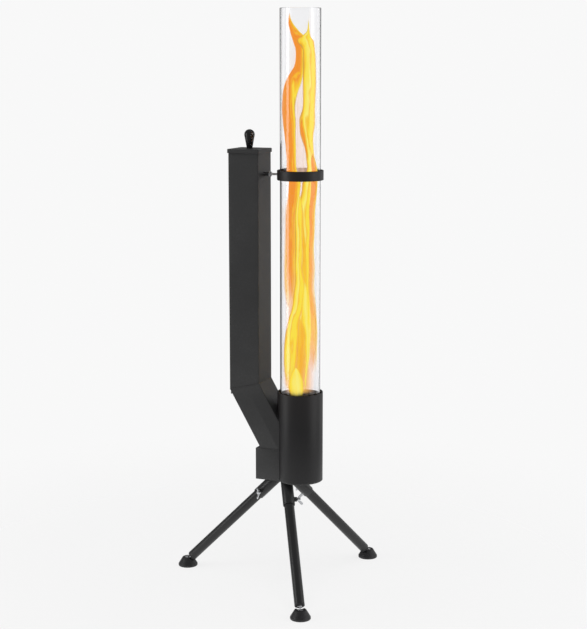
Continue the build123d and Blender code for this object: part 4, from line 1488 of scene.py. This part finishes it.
# Each ribbon: its finish, its middle's depth, its thickness as a share of its width, then its
# stations from the top down. A station is, in millimetres, how far it lies below the glass's top,
# how far to the right of the tube's axis and its half width, and then its cover, from 0 to 1.
RIBBONS = {
    "flame_left": ("orange_fire", 8, 0.55, (
        (15, -27, 1, 0.0), (30, -26, 3, 0.8), (42, -23, 6, 1.0), (53, -17, 9, 1.0),
        (62, -12, 12, 1.0), (71, -5, 16, 1.0), (80, -3, 15, 1.0), (90, -4, 11, 1.0),
        (100, -2, 9.5, 1.0), (125, -2, 9.5, 1.0), (142, -4, 11, 1.0), (156, -9, 15, 1.0),
        (170, -14, 18, 1.0), (184, -19, 19, 1.0), (200, -24, 18, 1.0), (216, -27, 16.5, 1.0),
        (242, -29, 15.5, 1.0), (276, -26.5, 15, 1.0), (305, -25, 13, 1.0), (336, -23, 12, 1.0),
        (365, -22, 11, 1.0), (390, -21, 12, 1.0), (417, -14, 14, 1.0), (441, -15, 14, 1.0),
        (473, -19, 13, 0.95), (500, -22, 12, 0.9), (534, -23, 12, 0.9), (581, -22, 12, 0.9),
        (626, -22, 11, 0.8), (660, -21, 10, 0.6), (690, -20, 8, 0.3), (710, -20, 6, 0.0),
    )),
    "flame_right": ("yellow_fire", 2, 0.5, (
        (31, 20, 0.6, 0.0), (45, 19.5, 1.4, 0.9), (58, 19, 3, 1.0), (66, 16, 7, 1.0),
        (73, 11, 14, 1.0), (80, 12, 19, 1.0), (90, 16, 17, 1.0), (100, 20.5, 14, 1.0),
        (125, 21.5, 15, 1.0), (185, 22, 15, 1.0), (240, 20.5, 14, 1.0), (262, 17, 17.5, 1.0),
        (280, 16.5, 17.5, 1.0), (305, 16, 14.5, 1.0), (336, 21.5, 10, 1.0), (365, 25, 9.5, 1.0),
        (387, 28, 11, 1.0), (417, 24, 17, 1.0), (445, 22, 18, 1.0), (488, 13, 21, 1.0),
        (534, 11, 22, 1.0), (581, 9, 20, 1.0), (626, 8, 19, 1.0), (674, 8, 19, 1.0),
        (722, 8, 24, 0.9), (754, 9, 28, 0.7), (787, 11, 30, 0.5), (820, 14, 27, 0.3),
        (850, 17, 22, 0.1), (870, 18, 18, 0.0),
    )),
    "flame_core": ("yellow_fire", -16, 0.6, (
        (445, -2, 2, 0.0), (470, -3, 6, 0.9), (495, -3.5, 8, 1.0), (534, -4, 7.5, 1.0),
        (581, -3.5, 7, 1.0), (626, -4, 7.5, 1.0), (658, -1, 10, 1.0), (689, -2, 13, 1.0),
        (722, -6, 12.5, 1.0), (754, -15, 12.5, 1.0), (787, -20, 14.5, 1.0), (820, -23, 15, 1.0),
        (850, -24, 15, 0.9), (883, -25, 13, 0.6), (915, -24, 10, 0.0),
    )),
    "flame_strand": ("pale_fire", -20, 0.7, (
        (660, 10, 3, 0.0), (680, 12, 5, 0.9), (722, 12.5, 9, 1.0), (754, 15, 10, 1.0),
        (787, 19, 7.5, 0.95), (820, 18, 6, 0.9), (850, 18, 4.5, 0.85), (883, 15, 2.5, 0.8),
        (914, 13, 2, 0.5), (930, 13, 1.5, 0.0),
    )),
    "flame_edge": ("orange_fire", -12, 0.5, (
        (345, 30, 1.5, 0.0), (365, 31, 5, 0.95), (387, 34, 6.5, 1.0), (417, 34, 7.5, 1.0),
        (441, 33, 7, 1.0), (488, 29, 7, 0.95), (534, 29, 6, 0.8), (581, 27, 6, 0.6),
        (626, 28, 7, 0.5), (674, 27, 7, 0.4), (722, 31, 7, 0.5), (754, 33, 7, 0.5),
        (787, 33, 8, 0.45), (820, 33, 8, 0.4), (850, 33, 8, 0.3), (890, 32, 7, 0.0),
    )),
    "flame_lick": ("orange_fire", -9, 0.6, (
        (262, 4, 1, 0.0), (276, 4, 3, 0.9), (295, 6, 5.5, 1.0), (312, 10, 4.5, 0.95),
        (332, 14, 3, 0.85), (350, 17, 2, 0.5), (365, 19, 1, 0.0),
    )),
    "flame_streak": ("gold_fire", -14, 0.4, (
        (470, 5, 1, 0.0), (500, 5.5, 2, 0.8), (534, 6, 2.5, 0.9), (581, 9, 5, 0.9),
        (626, 10, 7, 0.7), (674, 12, 6, 0.4), (700, 12, 5, 0.0),
    )),
    "flame_skirt": ("peach_fire", 16, 0.35, (
        (540, 0, 30, 0.0), (600, -2, 37, 0.55), (660, -2, 37, 0.8), (740, 0, 36, 1.0),
        (800, 0, 37, 1.0), (860, -2, 37, 1.0), (905, -2, 37, 1.0), (938, -2, 36, 0.8),
        (946, -2, 35, 0.0),
    )),
    "flame_middle": ("gold_fire", -10, 0.4, (
        (735, 0, 3, 0.0), (754, 1, 7, 0.8), (787, 2, 14, 0.95), (820, 2, 15, 0.95),
        (850, 1, 15, 0.85), (883, 0, 13, 0.65), (915, 0, 11, 0.3), (935, 0, 10, 0.0),
    )),
    "flame_haze": ("peach_fire", 14, 0.4, (
        (450, -28, 6, 0.0), (490, -30, 10, 0.7), (540, -31, 10, 0.7), (600, -33, 9, 0.8),
        (640, -33, 9, 0.9), (680, -32, 9, 0.8), (710, -30, 7, 0.5), (730, -29, 5, 0.0),
    )),
    "flame_veil": ("veil_fire", 18, 0.3, (
        (60, 0, 20, 0.0), (130, 2, 34, 0.6), (330, 0, 36, 1.0), (600, 0, 37, 1.0),
        (800, 0, 38, 1.0), (900, 0, 38, 1.0), (935, 0, 38, 0.5),
    )),
    "flame_foot": ("peach_fire", 6, 0.4, (
        (820, -28, 8, 0.0), (850, -30, 11, 0.6), (883, -31, 11, 0.6), (915, -31, 10, 0.5),
        (935, -30, 9, 0.0),
    )),
    "flame_heart": ("pale_fire", -24, 0.6, (
        (876, -11, 1.5, 0.9), (881, -11, 6, 1.0), (888, -11, 10, 1.0), (898, -11, 14, 1.0),
        (908, -11, 17, 1.0), (920, -11, 18.5, 1.0), (930, -10, 18, 0.85), (939, -9, 16, 0.4),
        (946, -8, 14, 0.0),
    )),
}
SWAY = 9.0  # how far the whole flame swings towards the camera and back, in millimetres
SWAY_STEP = 62.0  # fall over which the swing goes through one radian
SWAY_END = 1000.0  # the swing has died away at this fall
SWAY_FADE = 150.0  # and starts to do so this far above it
RIBBON_SIDES = 24
RIBBON_ROW = 5.0
RIBBON_SPREAD = 1.12  # makes up for the soft edges
THINNEST = 0.4
CROSSED_WIDTH, CROSSED_DEPTH, CROSSED_ACROSS = 0.22, 0.96, 0.8  # the inner lens beside the outer

BED_SHARE = 0.82  # the glowing bed's radius beside the grate's
BED_LAYERS, BED_SIDES, BED_SEED = 4, 24, 3
BED_COUNT = 9000.0  # pellets a square metre in each layer
PELLET_R, PELLET_LENGTH = 3 * MM, 16 * MM


def between(stations, place):
    """Smooth values between stations, each a tuple that starts with its own place."""
    last = len(stations) - 1
    i = max(n for n in range(last) if stations[n][0] <= place or n == 0)
    before, first, second, after = (
        stations[min(max(n, 0), last)] for n in (i - 1, i, i + 1, i + 2)
    )
    gap = second[0] - first[0]
    share = min(max((place - first[0]) / gap, 0.0), 1.0)
    values = []
    for p, a, b, q in zip(before[1:], first[1:], second[1:], after[1:]):
        in_slope = (b - p) / max(second[0] - before[0], 1e-6) * gap
        out_slope = (q - a) / max(after[0] - first[0], 1e-6) * gap
        s2, s3 = share**2, share**3
        values.append(
            (2 * s3 - 3 * s2 + 1) * a + (s3 - 2 * s2 + share) * in_slope
            + (3 * s2 - 2 * s3) * b + (s3 - s2) * out_slope
        )
    return values


def ribbon(name, depth, fullness, stations):
    """A flame ribbon as two closed lenses crossed along its middle, so it has a body from the side.

    Its UVs hold the place across each lens and along the ribbon.
    """
    top, bottom = stations[0][0], stations[-1][0]
    rows, sides = ceil((bottom - top) / RIBBON_ROW), RIBBON_SIDES
    face = Matrix.Rotation(BROADSIDE, 3, "Z")
    verts, places, covers, faces = [], [], [], []
    for crossed in (False, True):
        start = len(verts)
        for row in range(rows + 1):
            fall = top + (bottom - top) * row / rows
            sideways, half, cover = between(stations, fall)
            half = max(half * RIBBON_SPREAD, THINNEST)
            wide, thick = half, fullness * half
            if crossed:
                wide, thick = CROSSED_WIDTH * half, CROSSED_DEPTH * thick
            fade = min(1.0, (SWAY_END - fall) / SWAY_FADE)
            push = depth + SWAY * sin(fall / SWAY_STEP) * fade
            for i in range(sides):
                angle = tau * i / sides
                point = Vector((sideways + wide * cos(angle), push + thick * sin(angle), 0))
                point = face @ point * MM
                verts.append((TUBE.x + point.x, TUBE.y + point.y, glass_high.z - fall * MM))
                across = CROSSED_ACROSS * sin(angle) if crossed else cos(angle)
                places.append((0.5 + 0.5 * across, row / rows))
                covers.append(min(max(cover, 0.0), 1.0))
        faces += [
            (start + row * sides + i, start + row * sides + (i + 1) % sides,
             start + (row + 1) * sides + (i + 1) % sides, start + (row + 1) * sides + i)
            for row in range(rows) for i in range(sides)
        ]
        faces.append(tuple(range(start, start + sides))[::-1])
        faces.append(tuple(range(start + rows * sides, start + (rows + 1) * sides)))
    mesh = bpy.data.meshes.new(name)
    mesh.from_pydata(verts, [], faces)
    shape = bmesh.new()
    shape.from_mesh(mesh)
    bmesh.ops.recalc_face_normals(shape, faces=shape.faces)
    shape.to_mesh(mesh)
    shape.free()
    layer = mesh.uv_layers.new(name="UVMap")
    for loop in mesh.loops:
        layer.data[loop.index].uv = places[loop.vertex_index]
    mesh.attributes.new("cover", "FLOAT", "POINT").data.foreach_set("value", covers)
    mesh.shade_smooth()
    return mesh


class HEATER_OT_fire(HeaterOperator):
    """Build the flame in the glass and the glowing pellets in the pot"""

    bl_idname = "heater.fire"
    bl_label = "Fire"

    def execute(self, context):
        for name, (finish, depth, fullness, stations) in RIBBONS.items():
            flame = new_object(name, ribbon(name, depth, fullness, stations))
            finished(flame, finish, "body", None)
        low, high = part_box("fire_grate")
        radius = (high.y - low.y) / 2 * BED_SHARE
        for layer in range(BED_LAYERS):
            lift = high.z + (3 + 4.5 * layer) * MM
            place = burner_axis @ Matrix.Translation((0, 0, lift))
            bed = [Vector((0, 0)), Vector((radius, 0)), Vector((0, 0.2 * MM))]
            heap = lathe(f"pellets_{layer}", bed, place, BED_SIDES)
            trees["pellet"].grow(
                heap, "ember", Count=BED_COUNT, Radius=PELLET_R, Length=PELLET_LENGTH,
                Seed=layer + BED_SEED,
            )
            smoothed(heap.data, 40)
            finished(heap, "ember", "body", None)
        return {"FINISHED"}


# --- Studio -------------------------------------------------------------------------------------
BACKDROP_R = 30.0
FLOOR_R, FLOOR_SIDES = 3.0, 96


def softbox(name, centre, target, size, power):
    """A rectangular lamp that faces a point."""
    lamp = bpy.data.lights.new(name, "AREA")
    lamp.shape = "RECTANGLE"
    lamp.size, lamp.size_y = size
    lamp.energy = power
    made = bpy.data.objects.new(name, lamp)
    bpy.context.scene.collection.objects.link(made)
    made.visible_camera = False
    made.location = centre
    made.rotation_mode = "QUATERNION"
    made.rotation_quaternion = (Vector(target) - Vector(centre)).to_track_quat("-Z", "Y")
    return made


class HEATER_OT_studio(HeaterOperator):
    """Set the camera, the pale floor, the backdrop and the soft lights"""

    bl_idname = "heater.studio"
    bl_label = "Studio"

    def execute(self, context):
        scene = context.scene
        values = scene.heater_studio
        scene.view_settings.view_transform = "Standard"
        scene.cycles.transparent_max_bounces = 32

        turn = Matrix.Rotation(values.azimuth, 3, "Z")
        camera = bpy.data.objects.new("camera", bpy.data.cameras.new("camera"))
        scene.collection.objects.link(camera)
        aim = Vector((TUBE.x, TUBE.y, values.eye))
        camera.location = aim + turn @ Vector((0, -values.distance, 0))
        camera.rotation_euler = (pi / 2 - values.pitch, 0, values.azimuth + values.yaw)
        camera.data.lens = values.lens
        camera.data.clip_end = 100.0
        scene.camera = camera

        world = bpy.data.worlds.new("studio")
        world.use_nodes = True
        sky = world.node_tree.nodes["Background"]
        sky.inputs["Color"].default_value = (1.0, 1.0, 1.0, 1.0)
        sky.inputs["Strength"].default_value = values.ambient
        scene.world = world

        white = Finish("backdrop")
        white.surface(
            base_color=(0.0, 0.0, 0.0), roughness=1.0, specular_ior_level=0.0,
            emission_color=(1.0, 1.0, 1.0), emission_strength=values.backdrop,
        )
        shape = bmesh.new()
        bmesh.ops.create_uvsphere(shape, u_segments=48, v_segments=24, radius=BACKDROP_R)
        mesh = bpy.data.meshes.new("backdrop")
        shape.to_mesh(mesh)
        shape.free()
        backdrop = new_object("backdrop", mesh)
        mesh.materials.append(white.material)
        backdrop.visible_diffuse = False
        backdrop.visible_glossy = False
        backdrop.visible_shadow = False

        pale = Finish("floor")
        reach = pale.node("VectorMath", {"operation": "LENGTH"}, {0: pale.coordinates()}, "Value")
        fade = pale.node(
            "MapRange", {"interpolation_type": "SMOOTHSTEP"},
            {"Value": reach, "From Min": 0.35, "From Max": 1.5, "To Min": 1.0, "To Max": 0.0},
        )
        pale.surface(
            base_color=(values.floor, values.floor, values.floor), roughness=0.9,
            specular_ior_level=0.1, emission_color=(1.0, 1.0, 1.0),
            emission_strength=values.floor_glow, alpha=fade,
        )
        ring = circle(FLOOR_R, 0, FLOOR_SIDES)
        mesh = bpy.data.meshes.new("floor")
        mesh.from_pydata(ring, [], [tuple(range(FLOOR_SIDES))])
        floor = new_object("floor", mesh)
        mesh.materials.append(pale.material)

        centre = (cad_low + cad_high) / 2
        for name, azimuth, rise, away, size, power in (
            ("right_box", 148, 1.0, 2.6, (1.6, 2.4), values.side_light),
            ("soft_box", 96, 1.0, 2.8, (2.0, 2.4), values.soft_light),
            ("front_strip", -54, 1.0, 2.8, (0.8, 2.2), values.strip_light),
            ("top_box", 20, 3.4, 0.6, (2.4, 2.4), values.top_light),
        ):
            spot = Matrix.Rotation(radians(azimuth), 3, "Z") @ Vector((0, -away, rise))
            lamp = softbox(name, spot + Vector((centre.x, centre.y, 0)), centre, size, power)
            lamp.visible_glossy = name != "top_box"
        return {"FINISHED"}


class HEATER_PT_panel(bpy.types.Panel):
    """The heater's operators and values in the 3D view's sidebar."""

    bl_label = "Patio Heater"
    bl_idname = "HEATER_PT_panel"
    bl_space_type = "VIEW_3D"
    bl_region_type = "UI"
    bl_category = "Heater"

    def draw(self, context):
        layout = self.layout
        for operator in OPERATORS:
            layout.operator(operator.bl_idname)
        for group in GROUPS:
            values = getattr(context.scene, group)
            box = layout.box()
            for name in values.bl_rna.properties.keys():
                if name not in ("rna_type", "name"):
                    box.prop(values, name)


GROUPS = {
    "heater_shape": HeaterShape, "heater_colours": HeaterColours, "heater_studio": HeaterStudio
}
OPERATORS = (
    HEATER_OT_studio, HEATER_OT_finishes, HEATER_OT_burner, HEATER_OT_glass, HEATER_OT_hopper,
    HEATER_OT_lid, HEATER_OT_ring, HEATER_OT_legs, HEATER_OT_feet, HEATER_OT_welds, HEATER_OT_fire,
)


def register():
    for group, kind in GROUPS.items():
        bpy.utils.register_class(kind)
        setattr(bpy.types.Scene, group, PointerProperty(type=kind))
    for kind in (*OPERATORS, HEATER_PT_panel):
        bpy.utils.register_class(kind)


def unregister():
    for kind in (HEATER_PT_panel, *reversed(OPERATORS)):
        bpy.utils.unregister_class(kind)
    for group, kind in GROUPS.items():
        delattr(bpy.types.Scene, group)
        bpy.utils.unregister_class(kind)


def main():
    register()
    trees.update(bead=bead_tree(), thread=thread_tree(), pellet=pellet_tree())
    for operator in OPERATORS:
        family, name = operator.bl_idname.split(".")
        getattr(getattr(bpy.ops, family), name)()


if __name__ == "__main__":
    main()
